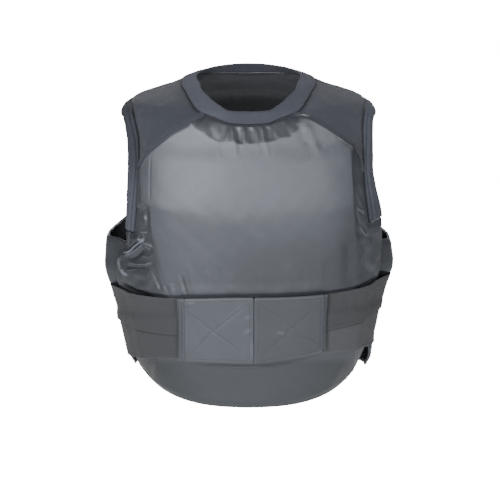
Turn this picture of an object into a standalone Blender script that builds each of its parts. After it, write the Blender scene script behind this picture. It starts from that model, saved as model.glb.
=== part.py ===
"""A concealable soft-armour vest in its worn shape: a padded front and back panel, knit shoulders,
a rib collar, rib armhole bands, and elastic straps that meet at two closure patches in front.

Metres, +Z up. The front faces -Y, and left and right are the viewer's, so left is -X. The origin is
where the vest sits: the middle of the neck opening at the height of the shoulders.
"""

import bpy
import numpy as np

MM = 0.001

# Driving sizes in millimetres
HALF_GAP = 0.2  # each piece stops this far short of a seam
LAYER_GAP = 0.5  # between pieces that lie on each other
CARRIER_EDGE = 3.2  # thickness of a panel at its sewn edge
INSERT_PANEL = 9.0  # thickness of the carrier over the armour insert
WING_PANEL = 4.8  # thickness of a wing under the arm
GATHERED_STRIP = 17.0  # height of the thin strip between the collar and the front insert
GATHERED_FADE = 9.0  # over which it thickens to the insert
KNIT = 2.2
RIB = 2.6
BAND_WIDTH = 25.0
BAND_TAPER_FROM = -120.0  # height below which the width changes towards it
BAND_END_WIDTH = {"left": 21.0, "right": 29.0}  # width at the lower end of the front leg
BAND_END_FLARE = {"left": 0.0, "right": 6.0}  # how far its free edge stands off there
STRAP_WIDTH = 56.0
STRAP = 1.8
STRAP_UNDER_PATCH = 14.0  # how far a strap's end reaches under its patch
PATCH_OVER_STRAP = 1.5  # how far the patches rise above the straps
WAIST = -330.0  # height at which lengths along the waist are measured
PATCH_WIDTH = 98.5
PATCH = 3.2
UNDER_FRONT = 1.2  # how far inside the front wings the ends of the back wings lie
WING_FLARE = 5.0  # how far the back wings stand off under the arms
CORNER_FLARE = {"left": 4.0, "right": 10.0}  # and their lower corners below the straps
PATCH_MIDDLE = 8.5  # the patches meet this far to the right of the middle
EDGE_FOLD_LEFT = 11.0
EDGE_FOLD_RIGHT = 5.0

# The form inside the vest, one level section a row, from the waist up to the neck.
FORM_COLUMNS = ("height", "half_width", "front", "back", "widest", "squareness")
FORM_ROWS = (
    (-480, 146, 119, 92, 8, 2.25),
    (-450, 156, 121, 93, 10, 2.25),
    (-415, 170, 122, 95, 12, 2.3),
    (-380, 181, 123, 98, 14, 2.3),
    (-320, 191, 122, 104, 14, 2.3),
    (-268, 200, 120, 109, 12, 2.3),
    (-215, 195, 116, 112, 6, 2.3),
    (-150, 188, 108, 112, 0, 2.2),
    (-100, 184, 97, 106, 0, 2.1),
    (-70, 183, 87, 98, 0, 2.0),
    (-52, 180.5, 82, 92, 0, 2.0),
    (-43, 176, 79, 87, 0, 2.0),
    (-36, 168, 76, 83, 0, 2.0),
    (-30, 160, 74, 80, 0, 2.0),
    (-25, 145, 71, 77, 0, 2.0),
    (-18.5, 124, 66, 73, 0, 2.0),
    (-12, 107, 62, 69, 0, 2.0),
    (-5, 93, 57, 65, 0, 2.0),
    (1, 74, 52, 60, 1, 2.0),
    (16, 62, 44, 52, 4, 2.0),
    (40, 58, 40, 48, 6, 2.0),
)

# Heights of the collar's two edges round the neck: turn from the front, height
COLLAR_SEAM = (
    (0, -46), (8, -44.5), (16, -38), (26, -30), (40, -20), (60, -11), (90, -6), (130, -9), (180, -14),
)
COLLAR_TOP = (
    (0, -28), (10, -27), (17, -22), (26, -15.5), (38, -8.3), (51, -3), (65, -0.3), (90, 1.6), (180, 3),
)

# Seam between yoke and front panel, from the collar to the armhole: distance from the middle, height
YOKE_SEAM = {
    "left": ((62, -33), (86, -48), (105, -59), (124, -76), (142, -94), (149, -104), (153, -113)),
    "right": (
        (62, -33), (84, -39), (100, -48), (118, -60), (136, -75), (149, -89), (156, -104), (161.5, -122),
    ),
}
BACK_YOKE_SEAM = ((52, -12), (80, -26), (110, -48), (140, -76), (153, -98))

# Armhole seam from the top of the shoulder down to the end of its band: distance from the middle, height
ARMHOLE = {
    "left": (
        (164, -33), (163, -37), (160, -46), (157, -58), (154, -73), (153, -90), (153, -113),
        (156, -157), (161, -208),
    ),
    "right": (
        (164, -33), (163, -37), (161, -47), (160, -60), (160, -75), (161, -95), (162, -122),
        (165, -160), (170, -197),
    ),
}
BACK_ARMHOLE = (
    (164, -33), (163, -37), (160, -47), (157, -60), (154, -76), (153, -98), (156, -150), (162, -200),
)

# Free edge of the front panel below the band, down to the tail: distance from the middle, height
FRONT_EDGE = {
    "left": (
        (173, -210), (173, -230), (186, -250), (190, -270), (184, -310), (176, -360), (167, -398), (158, -424),
    ),
    "right": (
        (189, -200), (190, -222), (189, -250), (186, -280), (182, -320), (176, -360), (166, -400), (154, -424),
    ),
}
FRONT_HEM = ((0, -459), (55, -458), (90, -455), (118, -449), (140, -439))

# Turns between which the front panel thins to its wing, and the back panel's wing thickens to its
# insert. The straps keep clear of both inserts a little longer.
FRONT_WING = (50, 60)
BACK_WING = (92, 112)
STRAP_DOWN = (52, 62)
STRAP_UP = (90, 108)

# Turns between which the back wings come out from under the front ones, depths below which their
# lower corners are out, and where their flares begin and end
WING_OUT = (71, 88)
CORNER_OUT = (386, 408)
FLARE_TURN = (86, 112)
FLARE_HEIGHT = (-296, -262)
CORNER_DEPTH = (380, 425)

# Free edge of the back panel from the end of the band's back leg, forward under the arm and the front
# wing, and down: turn from the front, height
BACK_EDGE = {
    "left": (
        (120, -227), (109, -234), (98, -237), (88, -236), (79, -231), (70, -228), (63, -227), (60.5, -233),
        (60.5, -250), (62, -285), (65, -320), (69, -352), (73, -380), (78, -406), (82, -432),
    ),
    "right": (
        (120, -229), (109, -239), (98, -243), (88, -242), (79, -237), (70, -232), (64, -231), (61.5, -237),
        (61.5, -254), (63, -285), (66, -320), (70, -352), (74, -382), (78, -408), (82, -437),
    ),
}
BACK_HEM = ((82, -434), (98, -444), (135, -455), (180, -459))

# Top edge of the straps round the waist: turn from the front, height
STRAP_MIDDLE = -284
STRAP_TOP = (
    (-150, -335), (-110, -323), (-90, -313), (-70, -300), (-55, -296), (-35, -292), (-25, -289),
    (0, STRAP_MIDDLE), (32, -284), (50, -284), (62, -283), (72, -285), (82, -290), (95, -299), (150, -320),
)
# How far the upper strap hangs over the lower one: turn, overlap
STRAP_LAP = 19
STRAP_OVERLAP = ((-150, 2), (-75, 3), (-30, STRAP_LAP), (30, STRAP_LAP), (75, 3), (150, 2))
# Closure patches: distance along the waist from the middle, height of the patch there
PATCH_HEIGHT = ((-110, 96), (-50, 99), (8, 101), (40, 98), (110, 89))
STRAP_BACK_END = 138.0  # turn at which the straps are sewn to the back panel

TURN_LENGTH = 3.0  # about how many millimetres one degree of turn is, for spreading points evenly

# How many steps each shared seam and each free edge is cut into
STEPS = {
    "collar_front": 6, "collar_side": 16, "collar_back": 6, "yoke": 8, "armhole": 6, "shoulder": 8,
    "front_edge": 9, "front_hem": 12, "back_edge": 20, "back_hem": 24, "strap_length": 23, "strap_width": 4,
    "waist_height": 5, "closure_patch": 8, "patch_edge": 2,
}

COLOURS = {
    "front_panel": (0.105, 0.112, 0.130, 0.50),
    "back_panel": (0.105, 0.112, 0.130, 0.50),
    "shoulder_yoke": (0.075, 0.082, 0.100, 0.95),
    "collar": (0.090, 0.097, 0.118, 0.92),
    "armhole_band": (0.085, 0.092, 0.115, 0.92),
    "strap": (0.078, 0.080, 0.086, 0.85),
    "closure_patch": (0.110, 0.118, 0.140, 0.80),
    "patch_edge": (0.085, 0.090, 0.105, 0.85),
}
SIDES = {"left": -1, "right": 1}


def smooth(at, table, column=1):
    """The table's column at these places, on a curve through its rows that doesn't overshoot."""
    rows = np.array(table, float)
    knots, values = rows[:, 0], rows[:, column]
    step = np.diff(knots)
    grade = np.diff(values) / step
    slope = np.concatenate([grade[:1], np.zeros(len(grade) - 1), grade[-1:]])
    both = grade[:-1] * grade[1:]
    total = np.where(both > 0, grade[:-1] + grade[1:], 1.0)
    slope[1:-1] = np.where(both > 0, 2 * both / total, 0.0)
    at = np.clip(at, knots[0], knots[-1])
    i = np.clip(np.searchsorted(knots, at) - 1, 0, len(step) - 1)
    t = (at - knots[i]) / step[i]
    start = (1 + 2 * t) * (1 - t) ** 2 * values[i] + t * (1 - t) ** 2 * step[i] * slope[i]
    return start + t**2 * (3 - 2 * t) * values[i + 1] + t**2 * (t - 1) * step[i] * slope[i + 1]


def form(height):
    """The form's section at these heights, a value for each column but the first."""
    return [smooth(height, FORM_ROWS, k) for k in range(1, len(FORM_COLUMNS))]


def form_point(turn, height):
    """Places on the form. Turn is in degrees round it, 0 in front, 90 on the right, 180 behind."""
    half_width, front, back, widest, squareness = form(height)
    angle = np.radians(turn)
    across, ahead = np.sin(angle), np.cos(angle)
    reach = np.where(ahead > 0, front + widest, back - widest)
    x = half_width * np.sign(across) * np.abs(across) ** (2 / squareness)
    y = widest - np.sign(ahead) * reach * np.abs(ahead) ** (2 / squareness)
    return np.stack([x, y, height + 0 * x], axis=-1)


def form_level(point):
    """0 on the form and more outside it: the rounded section's own equation."""
    half_width, front, back, widest, squareness = form(point[..., 2])
    y = point[..., 1] - widest
    reach = np.where(y < 0, front + widest, back - widest)
    return np.abs(point[..., 0] / half_width) ** squareness + np.abs(y / reach) ** squareness - 1


def level_slope(point, step=0.5):
    """How fast the level changes a millimetre, along each axis."""
    change = [form_level(point + step * axis) - form_level(point - step * axis) for axis in np.eye(3)]
    return np.stack(change, axis=-1) / (2 * step)


def form_normal(point):
    """The outward direction."""
    slope = level_slope(point)
    return slope / np.linalg.norm(slope, axis=-1, keepdims=True)


def turn_at(x, height):
    """The turn at which the front of the form is this far from the middle."""
    half_width, _, _, _, squareness = form(np.asarray(height, float))
    share = np.clip(np.abs(x) / half_width, 0, 1) ** (squareness / 2)
    return np.degrees(np.arcsin(share))


def along(points, count):
    """A smooth curve through these pattern points, in count even steps."""
    points = np.array(points, float)
    far = np.concatenate([[0], np.cumsum(np.hypot(*np.diff(points, axis=0).T))])
    at = np.linspace(0, far[-1], count + 1)
    return np.stack([smooth(at, np.column_stack([far, points[:, k]])) for k in (0, 1)], axis=1)


def on_front(table):
    """Rows of (distance from the middle, height) as (turn, height), on the right half."""
    rows = np.array(table, float)
    return np.column_stack([turn_at(rows[:, 0], rows[:, 1]), rows[:, 1]])


def on_back(table):
    rows = on_front(table)
    return np.column_stack([180 - rows[:, 0], rows[:, 1]])


def joined(*curves):
    """Curves end to end, with each shared point once."""
    return np.concatenate([curves[0], *(curve[1:] for curve in curves[1:])])


def seams(side):
    """The sewn and free edges of one side, as (turn, height) on the right half; left is mirrored."""
    front_seam, armhole = on_front(YOKE_SEAM[side]), on_front(ARMHOLE[side])
    back_seam, back_armhole = on_back(BACK_YOKE_SEAM), on_back(BACK_ARMHOLE)
    armhole[0, 0] = back_armhole[0, 0] = 90
    back_armhole[0, 1] = armhole[0, 1]
    front_seam[0, 1] = smooth(front_seam[0, 0], COLLAR_SEAM)
    back_seam[0, 1] = smooth(back_seam[0, 0], COLLAR_SEAM)
    meet = armhole[:, 1] < front_seam[-1, 1] - 1
    over, under = armhole[~meet], np.concatenate([front_seam[-1:], armhole[meet]])
    over = over[over[:, 1] > front_seam[-1, 1] + 1]
    over = np.concatenate([over, front_seam[-1:]])
    back_over = np.concatenate([back_armhole[back_armhole[:, 1] > back_seam[-1, 1] + 1], back_seam[-1:]])
    back_under = np.concatenate([back_seam[-1:], back_armhole[back_armhole[:, 1] < back_seam[-1, 1] - 1]])
    front_end, back_end = front_seam[0, 0], back_seam[0, 0]
    return {
        "front_seam": along(front_seam, STEPS["yoke"]),
        "back_seam": along(back_seam, STEPS["yoke"]),
        "armhole_over": along(over, STEPS["shoulder"]),
        "armhole_under": along(under, STEPS["armhole"]),
        "back_over": along(back_over, STEPS["shoulder"]),
        "back_under": along(back_under, STEPS["armhole"]),
        "collar_front": round_neck(0.0, front_end, STEPS["collar_front"]),
        "collar_side": round_neck(front_end, back_end, STEPS["collar_side"]),
        "collar_back": round_neck(back_end, 180.0, STEPS["collar_back"]),
    }


def round_neck(start, end, count):
    """The collar's seam between two turns, in count even steps."""
    fine = np.linspace(start, end, 201)
    line = form_point(fine, smooth(fine, COLLAR_SEAM))
    far = np.concatenate([[0], np.cumsum(np.linalg.norm(np.diff(line, axis=0), axis=1))])
    turn = np.interp(np.linspace(0, far[-1], count + 1), far, fine)
    return np.column_stack([turn, smooth(turn, COLLAR_SEAM)])


def mirrored(curve):
    return curve * (-1, 1)


def behind(curve):
    """A right-hand curve on the left, with its turn counted past 180."""
    return np.column_stack([360 - curve[:, 0], curve[:, 1]])


def shares(first, second):
    """How far along each of two facing edges its points are, from 0 to 1, averaged."""
    total = 0
    for edge in (first, second):
        far = np.concatenate([[0], np.cumsum(np.hypot(*np.diff(edge * (TURN_LENGTH, 1), axis=0).T))])
        total = total + far / far[-1] / 2
    return total


def spread(curve, at):
    """The curve again, with its points at these shares of its length."""
    far = np.concatenate([[0], np.cumsum(np.hypot(*np.diff(curve * (TURN_LENGTH, 1), axis=0).T))])
    return np.stack([np.interp(at, far / far[-1], curve[:, k]) for k in (0, 1)], axis=1)


def filled(top, bottom, left, right):
    """The pattern grid between four edges: rows ruled from top to bottom, shifted to follow both sides,
    then relaxed."""
    across, down = shares(top, bottom), shares(left, right)
    u, v = across[None, :, None], down[:, None, None]
    ruled = (1 - v) * top + v * bottom
    left_bow = left[:, None] - (1 - v) * left[0] - v * left[-1]
    right_bow = right[:, None] - (1 - v) * right[0] - v * right[-1]
    return relaxed(ruled + (1 - u) * left_bow + u * right_bow)


def relaxed(grid, rounds=400):
    """The grid with its inner points moved until its rows and columns spread evenly and never cross,
    with the border kept: each point becomes the weighted mean of the eight round it (Winslow)."""
    grid = grid * (TURN_LENGTH, 1)
    for _ in range(rounds):
        east, west, south, north = grid[1:-1, 2:], grid[1:-1, :-2], grid[2:, 1:-1], grid[:-2, 1:-1]
        across, down = east - west, south - north
        corners = grid[2:, 2:] - grid[:-2, 2:] - grid[2:, :-2] + grid[:-2, :-2]
        over = (down**2).sum(-1, keepdims=True)
        under = (across**2).sum(-1, keepdims=True)
        skew = (across * down).sum(-1, keepdims=True)
        mean = over * (east + west) + under * (south + north) - skew * corners / 2
        grid[1:-1, 1:-1] = mean / (2 * (over + under))
    return grid / (TURN_LENGTH, 1)


def finer_sides(grid):
    """The grid with more columns at both sides, where the columns stand far apart."""
    last = grid.shape[1] - 1
    near = np.concatenate([np.arange(0, 1, 0.25), np.arange(1, 3, 0.5)])
    at = np.concatenate([near, np.arange(3, last - 2), (last - near)[::-1]])
    low = np.minimum(at.astype(int), last - 1)
    share = (at - low)[:, None]
    return grid[:, low] * (1 - share) + grid[:, low + 1] * share


def distance_to(points, curve):
    """How far each point is from a chain of points in space."""
    ends = form_point(curve[:, 0], curve[:, 1])
    start, run = ends[:-1], np.diff(ends, axis=0)
    away = points[..., None, :] - start
    share = np.clip((away * run).sum(-1) / np.maximum((run * run).sum(-1), 1e-9), 0, 1)
    return np.linalg.norm(away - share[..., None] * run, axis=-1).min(-1)


def rise(value, start, end):
    """0 before start, 1 after end, with a soft step between."""
    t = np.clip((value - start) / (end - start), 0, 1)
    return t * t * (3 - 2 * t)


def rim_of(grid):
    """The grid's border as one loop of row and column numbers."""
    rows, columns = grid.shape[:2]
    loop = [(0, c) for c in range(columns)] + [(r, columns - 1) for r in range(1, rows)]
    loop += [(rows - 1, c) for c in range(columns - 2, -1, -1)] + [(r, 0) for r in range(rows - 2, 0, -1)]
    return tuple(np.array(loop).T)


def drawn_in(points, normals, by=HALF_GAP):
    """The sheet with its border moved inwards a little, square to the border."""
    rim = rim_of(points)
    edge = points[rim]
    ahead = np.roll(edge, -1, axis=0) - edge
    ahead /= np.linalg.norm(ahead, axis=1, keepdims=True)
    direction = ahead + np.roll(ahead, 1, axis=0)
    inward = np.cross(normals[rim], direction)
    inward /= np.maximum(np.linalg.norm(inward, axis=1, keepdims=True), 1e-9)
    middle = points.mean(axis=(0, 1))
    toward = (inward * (middle - edge)).sum()
    moved = points.copy()
    moved[rim] = edge + np.sign(toward) * by * inward
    return moved


def add_object(name, points, faces, kind):
    """One named closed solid with its own material, from points in millimetres."""
    mesh = bpy.data.meshes.new(name)
    mesh.from_pydata((points * MM).tolist(), [], faces.tolist())
    mesh.update()
    mesh.shade_smooth()
    mesh.set_sharp_from_angle(angle=np.radians(40))
    material = bpy.data.materials.new(name)
    material.use_nodes = True
    shader = material.node_tree.nodes["Principled BSDF"]
    red, green, blue, roughness = COLOURS[kind]
    shader.inputs["Base Color"].default_value = (red, green, blue, 1)
    shader.inputs["Roughness"].default_value = roughness
    mesh.materials.append(material)
    piece = bpy.data.objects.new(name, mesh)
    bpy.context.scene.collection.objects.link(piece)
    return piece


def add_shell(name, kind, outer, inner, closed=False):
    """A solid between two grids of points; closed joins the last column to the first."""
    rows, columns = outer.shape[:2]
    number = np.arange(rows * columns).reshape(rows, columns)
    if closed:
        number = np.concatenate([number, number[:, :1]], axis=1)
    a, b, c, d = number[:-1, :-1], number[:-1, 1:], number[1:, 1:], number[1:, :-1]
    quads = np.stack([a, d, c, b], axis=-1).reshape(-1, 4)
    below = quads[:, ::-1] + rows * columns
    if closed:
        loops = [number[0], number[-1][::-1]]
    else:
        loop = number[rim_of(number)]
        loops = [np.append(loop, loop[0])]
    under = rows * columns
    walls = [np.stack([l[:-1], l[1:], l[1:] + under, l[:-1] + under], axis=1) for l in loops]
    points = np.concatenate([outer.reshape(-1, 3), inner.reshape(-1, 3)])
    faces = np.concatenate([quads, below, *walls])
    corners = points[faces]
    volume = (corners[:, 0] * np.cross(corners[:, 1], corners[:, 2])).sum()
    volume += (corners[:, 0] * np.cross(corners[:, 2], corners[:, 3])).sum()
    return add_object(name, points, faces if volume > 0 else faces[:, ::-1], kind)


def add_sheet(name, kind, pattern, lift, thickness, closed=False):
    """A piece laid over the form: its pattern grid, its height off the form, and its thickness."""
    points = form_point(pattern[..., 0], pattern[..., 1])
    normals = form_normal(points)
    if not closed:
        points = drawn_in(points, normals)
    lift, thickness = np.broadcast_to(lift, points.shape[:2]), np.broadcast_to(thickness, points.shape[:2])
    inner = points + normals * lift[..., None]
    return add_shell(name, kind, inner + normals * thickness[..., None], inner, closed)


# Edges of a panel: width of the thin rim, and how far from it the panel reaches its full thickness
HEM_RIM = (1, 13)
FREE_RIM = (2, 14)
SEAM_RIM = (2, 10)
BACK_TOP_RIM = (3, 13)


def panel_thickness(points, edges, side_share):
    """Thin at the edges and full over the insert, or over the wings as their share says."""
    full = 1.0
    for curve, (rim, fade_end) in edges:
        full = np.minimum(full, rise(distance_to(points, curve), rim, fade_end))
    middle = INSERT_PANEL + (WING_PANEL - INSERT_PANEL) * side_share
    return CARRIER_EDGE + (middle - CARRIER_EDGE) * full


def front_panel_pattern(seam):
    """Edges of the front panel, left to right and top to bottom."""
    half_top, half_side, half_hem = {}, {}, {}
    for side in SIDES:
        s = seam[side]
        half_top[side] = joined(s["collar_front"], s["front_seam"])
        free = on_front(FRONT_EDGE[side])
        step = np.stack([s["armhole_under"][-1], free[0]])
        half_side[side] = joined(s["armhole_under"], step, along(free, STEPS["front_edge"]))
        front_hem = along(on_front(FRONT_HEM), STEPS["front_hem"])
        half_hem[side] = np.concatenate([front_hem, half_side[side][-1:]])
    top = joined(mirrored(half_top["left"])[::-1], half_top["right"])
    hem = joined(mirrored(half_hem["left"])[::-1], half_hem["right"])
    return top, hem, mirrored(half_side["left"]), half_side["right"]


def make_front_panel(seam):
    top, hem, left, right = front_panel_pattern(seam)
    hem = spread(hem, shares(top, spread(hem, np.linspace(0, 1, len(top)))))
    pattern = filled(top, hem, left, right)
    turn = np.abs(pattern[..., 0])
    points = form_point(pattern[..., 0], pattern[..., 1])
    neck = joined(mirrored(seam["left"]["collar_front"])[::-1], seam["right"]["collar_front"])
    edges = [(neck, (GATHERED_STRIP, GATHERED_STRIP + GATHERED_FADE)), (hem, HEM_RIM)]
    edges += [(left, FREE_RIM), (right, FREE_RIM)]
    edges += [(mirrored(seam["left"]["front_seam"]), SEAM_RIM), (seam["right"]["front_seam"], SEAM_RIM)]
    thickness = panel_thickness(points, edges, rise(turn, *FRONT_WING))
    add_sheet("front_panel", "front_panel", pattern, 0.0, thickness)


def back_lift(turn, height):
    """The back wings flare off the form under the arms, and their lower corners do below the straps."""
    wing = 1 - rise(np.abs(turn), *FLARE_TURN)
    corner = np.where(turn > 0, CORNER_FLARE["right"], CORNER_FLARE["left"])
    return wing * (WING_FLARE * rise(height, *FLARE_HEIGHT) + corner * rise(-height, *CORNER_DEPTH))


def make_back_panel(seam):
    half_top, half_side, half_hem = {}, {}, {}
    for side in SIDES:
        s = seam[side]
        half_top[side] = joined(s["collar_back"][::-1], s["back_seam"])
        free = np.array(BACK_EDGE[side], float)
        step = np.stack([s["back_under"][-1], free[0]])
        half_side[side] = joined(s["back_under"], step, along(free, STEPS["back_edge"]))
        half_hem[side] = joined(along(BACK_HEM[::-1], STEPS["back_hem"])[:-1], half_side[side][-1:])
    top = joined(half_top["right"][::-1], behind(half_top["left"]))
    hem = joined(half_hem["right"][::-1], behind(half_hem["left"]))
    left, right = half_side["right"], behind(half_side["left"])
    hem = spread(hem, shares(top, spread(hem, np.linspace(0, 1, len(top)))))
    pattern = finer_sides(filled(top, hem, left, right))
    points = form_point(pattern[..., 0], pattern[..., 1])
    turn = np.where(pattern[..., 0] > 180, pattern[..., 0] - 360, pattern[..., 0])
    edges = [(top, BACK_TOP_RIM), (hem, HEM_RIM), (left, FREE_RIM), (right, FREE_RIM)]
    thickness = panel_thickness(points, edges, 1 - rise(np.abs(turn), *BACK_WING))
    height = pattern[..., 1]
    out = np.maximum(rise(np.abs(turn), *WING_OUT), rise(-height, *CORNER_OUT))
    lift = back_lift(turn, height) * out - (thickness + UNDER_FRONT) * (1 - out)
    add_sheet("back_panel", "back_panel", pattern, lift, thickness)


def make_yoke(side, seam):
    """The knit shoulder, from the front seam over the shoulder to the back seam."""
    inner = seam["collar_side"]
    outer = joined(seam["armhole_over"][::-1], seam["back_over"])
    pattern = filled(seam["front_seam"], seam["back_seam"], inner, outer)
    if side == "left":
        pattern = pattern[:, ::-1] * (-1, 1)
    add_sheet(f"shoulder_yoke_{side}", "shoulder_yoke", pattern, 0.0, KNIT)


def make_band(side, seam):
    """The rib band on the armhole seam, an upside-down U of even width."""
    front_leg, over = seam["armhole_under"][::-1], seam["armhole_over"][::-1]
    inner = joined(front_leg, over, seam["back_over"], seam["back_under"])
    edge = form_point(inner[:, 0], inner[:, 1])
    normals = form_normal(edge)
    ahead = np.gradient(edge, axis=0)
    outward = np.cross(ahead, normals)
    outward /= np.linalg.norm(outward, axis=1, keepdims=True)
    share = np.array([0, 0.5, 1])
    leg = np.concatenate([front_leg[:, 1], np.full(len(inner) - len(front_leg), 0.0)])
    ending = rise(-leg, -BAND_TAPER_FROM, -leg[0])
    width = BAND_WIDTH + (BAND_END_WIDTH[side] - BAND_WIDTH) * ending
    flat = edge[None] + share[:, None, None] * (width[:, None] * outward)[None]
    points = settled(flat)
    points = drawn_in(points, form_normal(points))
    normals = form_normal(points)
    points = points + (share[:, None] * ending * BAND_END_FLARE[side])[..., None] * normals
    mirror = (-1, 1, 1) if side == "left" else (1, 1, 1)
    add_shell(f"armhole_band_{side}", "armhole_band", (points + normals * RIB) * mirror, points * mirror)


def settled(points, rounds=6):
    """Points moved onto the form along its slope."""
    for _ in range(rounds):
        slope = level_slope(points)
        points = points - slope * (form_level(points) / (slope**2).sum(-1))[..., None]
    return points


def make_collar(seam):
    halves = [joined(seam[s]["collar_front"], seam[s]["collar_side"], seam[s]["collar_back"]) for s in SIDES]
    ring = np.concatenate([mirrored(halves[0])[::-1][:-1], halves[1][:-1]])
    top = smooth(np.abs(ring[:, 0]), COLLAR_TOP)
    share = np.array([0, 0.5, 1])[:, None]
    pattern = np.stack([ring[:, 0] + 0 * share, ring[:, 1] + (top - ring[:, 1]) * share], axis=-1)
    points = form_point(pattern[..., 0], pattern[..., 1])
    normals = form_normal(points)
    away = points[1] - points[0]
    points[0] += 2 * HALF_GAP * away / np.linalg.norm(away, axis=-1, keepdims=True)
    add_shell("collar", "collar", points + normals * RIB, points, closed=True)


def strap_lift(turn, height):
    """How far off the form the straps lie: over the inserts in front and behind, over the wings between."""
    side = np.abs(turn)
    wing = rise(side, *STRAP_DOWN) * (1 - rise(side, *STRAP_UP))
    return INSERT_PANEL + (WING_PANEL - INSERT_PANEL) * wing + back_lift(turn, height) + LAYER_GAP


def turns_along(at, height):
    """The turns at which the waist, level with these heights, is this far along from the middle."""
    fine = np.linspace(-75, 75, 301)
    line = form_point(fine, np.full(len(fine), height))
    line = line + form_normal(line) * (INSERT_PANEL + PATCH)
    far = np.concatenate([[0], np.cumsum(np.linalg.norm(np.diff(line, axis=0), axis=1))])
    return np.interp(at, far - np.interp(0, fine, far), fine)


def make_strap(name, side, low, lift):
    end = SIDES[side] * (PATCH_WIDTH - STRAP_UNDER_PATCH) + PATCH_MIDDLE
    down = np.linspace(0, STRAP_WIDTH, STEPS["strap_width"] + 1)
    rows = []
    for below in down:
        start = turns_along(end, STRAP_MIDDLE - below - low * (STRAP_WIDTH - STRAP_LAP))
        turn = np.linspace(start, STRAP_BACK_END * SIDES[side], STEPS["strap_length"] + 1)
        top = smooth(turn, STRAP_TOP)
        if low:
            top = top - STRAP_WIDTH + smooth(turn, STRAP_OVERLAP)
        rows.append(np.stack([turn, top - below], axis=-1))
    pattern = np.stack(rows)
    add_sheet(name, "strap", pattern, strap_lift(pattern[..., 0], pattern[..., 1]) + lift, STRAP)


def waist_strip(name, kind, start, width, lift):
    """A flat piece in front of the straps, from start to start plus width along the waist."""
    at = np.linspace(start, start + width, STEPS[kind] + 1)
    top = smooth(turns_along(at, WAIST), STRAP_TOP) + PATCH_OVER_STRAP
    rows = []
    for share in np.linspace(0, 1, STEPS["waist_height"] + 1):
        height = top - share * smooth(at, PATCH_HEIGHT)
        turn = np.array([turns_along(a, h) for a, h in zip(at, height)])
        rows.append(np.stack([turn, height], axis=-1))
    pattern = np.stack(rows)
    add_sheet(name, kind, pattern, strap_lift(pattern[..., 0], pattern[..., 1]) + lift, PATCH)


def make_straps():
    for side in SIDES:
        make_strap(f"strap_upper_{side}", side, False, STRAP + LAYER_GAP)
        make_strap(f"strap_lower_{side}", side, True, 0.0)
    over = 2 * (STRAP + LAYER_GAP)
    start, end = PATCH_MIDDLE - PATCH_WIDTH, PATCH_MIDDLE + PATCH_WIDTH
    waist_strip("closure_patch_left", "closure_patch", start, PATCH_WIDTH, over)
    waist_strip("closure_patch_right", "closure_patch", PATCH_MIDDLE, PATCH_WIDTH, over)
    waist_strip("patch_edge_left", "patch_edge", start - EDGE_FOLD_LEFT, EDGE_FOLD_LEFT, over)
    waist_strip("patch_edge_right", "patch_edge", end, EDGE_FOLD_RIGHT, over)


def main():
    for old in list(bpy.data.objects):
        bpy.data.objects.remove(old)
    seam = {side: seams(side) for side in SIDES}
    make_front_panel(seam)
    make_back_panel(seam)
    for side in SIDES:
        make_yoke(side, seam[side])
        make_band(side, seam[side])
    make_collar(seam)
    make_straps()


main()
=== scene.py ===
import bpy
import numpy as np
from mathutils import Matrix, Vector


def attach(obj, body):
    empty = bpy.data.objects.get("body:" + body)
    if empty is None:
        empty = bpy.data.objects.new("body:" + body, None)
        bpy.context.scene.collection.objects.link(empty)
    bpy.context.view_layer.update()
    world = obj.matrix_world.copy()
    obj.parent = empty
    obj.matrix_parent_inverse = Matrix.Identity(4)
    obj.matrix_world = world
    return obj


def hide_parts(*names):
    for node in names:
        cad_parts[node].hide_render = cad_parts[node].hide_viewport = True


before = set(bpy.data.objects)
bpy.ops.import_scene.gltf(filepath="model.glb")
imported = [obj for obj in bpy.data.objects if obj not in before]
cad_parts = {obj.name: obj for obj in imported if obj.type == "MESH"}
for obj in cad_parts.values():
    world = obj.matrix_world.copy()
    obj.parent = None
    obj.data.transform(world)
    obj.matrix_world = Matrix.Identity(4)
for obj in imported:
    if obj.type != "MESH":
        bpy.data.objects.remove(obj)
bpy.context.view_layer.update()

print("frame loaded:", len(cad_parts), "nodes")

mm = 0.001
sides = {"left": -1, "right": 1}

# The view of the photograph. Folds further down are laid by where the photograph shows them.
cameraPlan = {
    "elevation": 20.5,                # degrees above the horizon
    "distance": 3.8,                  # metres
    "target": (0.0022, 0.0, -0.262),  # what the middle of the picture looks at
    "lens": 187.4,
    "sensor": 36.0,
    "picture": 500,                   # pixels across and down
}

# The form under the vest, one level section a row, in millimetres
formColumns = ("height", "halfWidth", "front", "back", "widest", "squareness")
formRows = (
    (-480, 146, 119, 92, 8, 2.25),
    (-450, 156, 121, 93, 10, 2.25),
    (-415, 170, 122, 95, 12, 2.3),
    (-380, 181, 123, 98, 14, 2.3),
    (-320, 191, 122, 104, 14, 2.3),
    (-268, 200, 120, 109, 12, 2.3),
    (-215, 195, 116, 112, 6, 2.3),
    (-150, 188, 108, 112, 0, 2.2),
    (-100, 184, 97, 106, 0, 2.1),
    (-70, 183, 87, 98, 0, 2.0),
    (-52, 180.5, 82, 92, 0, 2.0),
    (-43, 176, 79, 87, 0, 2.0),
    (-36, 168, 76, 83, 0, 2.0),
    (-30, 160, 74, 80, 0, 2.0),
    (-25, 145, 71, 77, 0, 2.0),
    (-18.5, 124, 66, 73, 0, 2.0),
    (-12, 107, 62, 69, 0, 2.0),
    (-5, 93, 57, 65, 0, 2.0),
    (1, 74, 52, 60, 1, 2.0),
    (16, 62, 44, 52, 4, 2.0),
    (40, 58, 40, 48, 6, 2.0),
)

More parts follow.
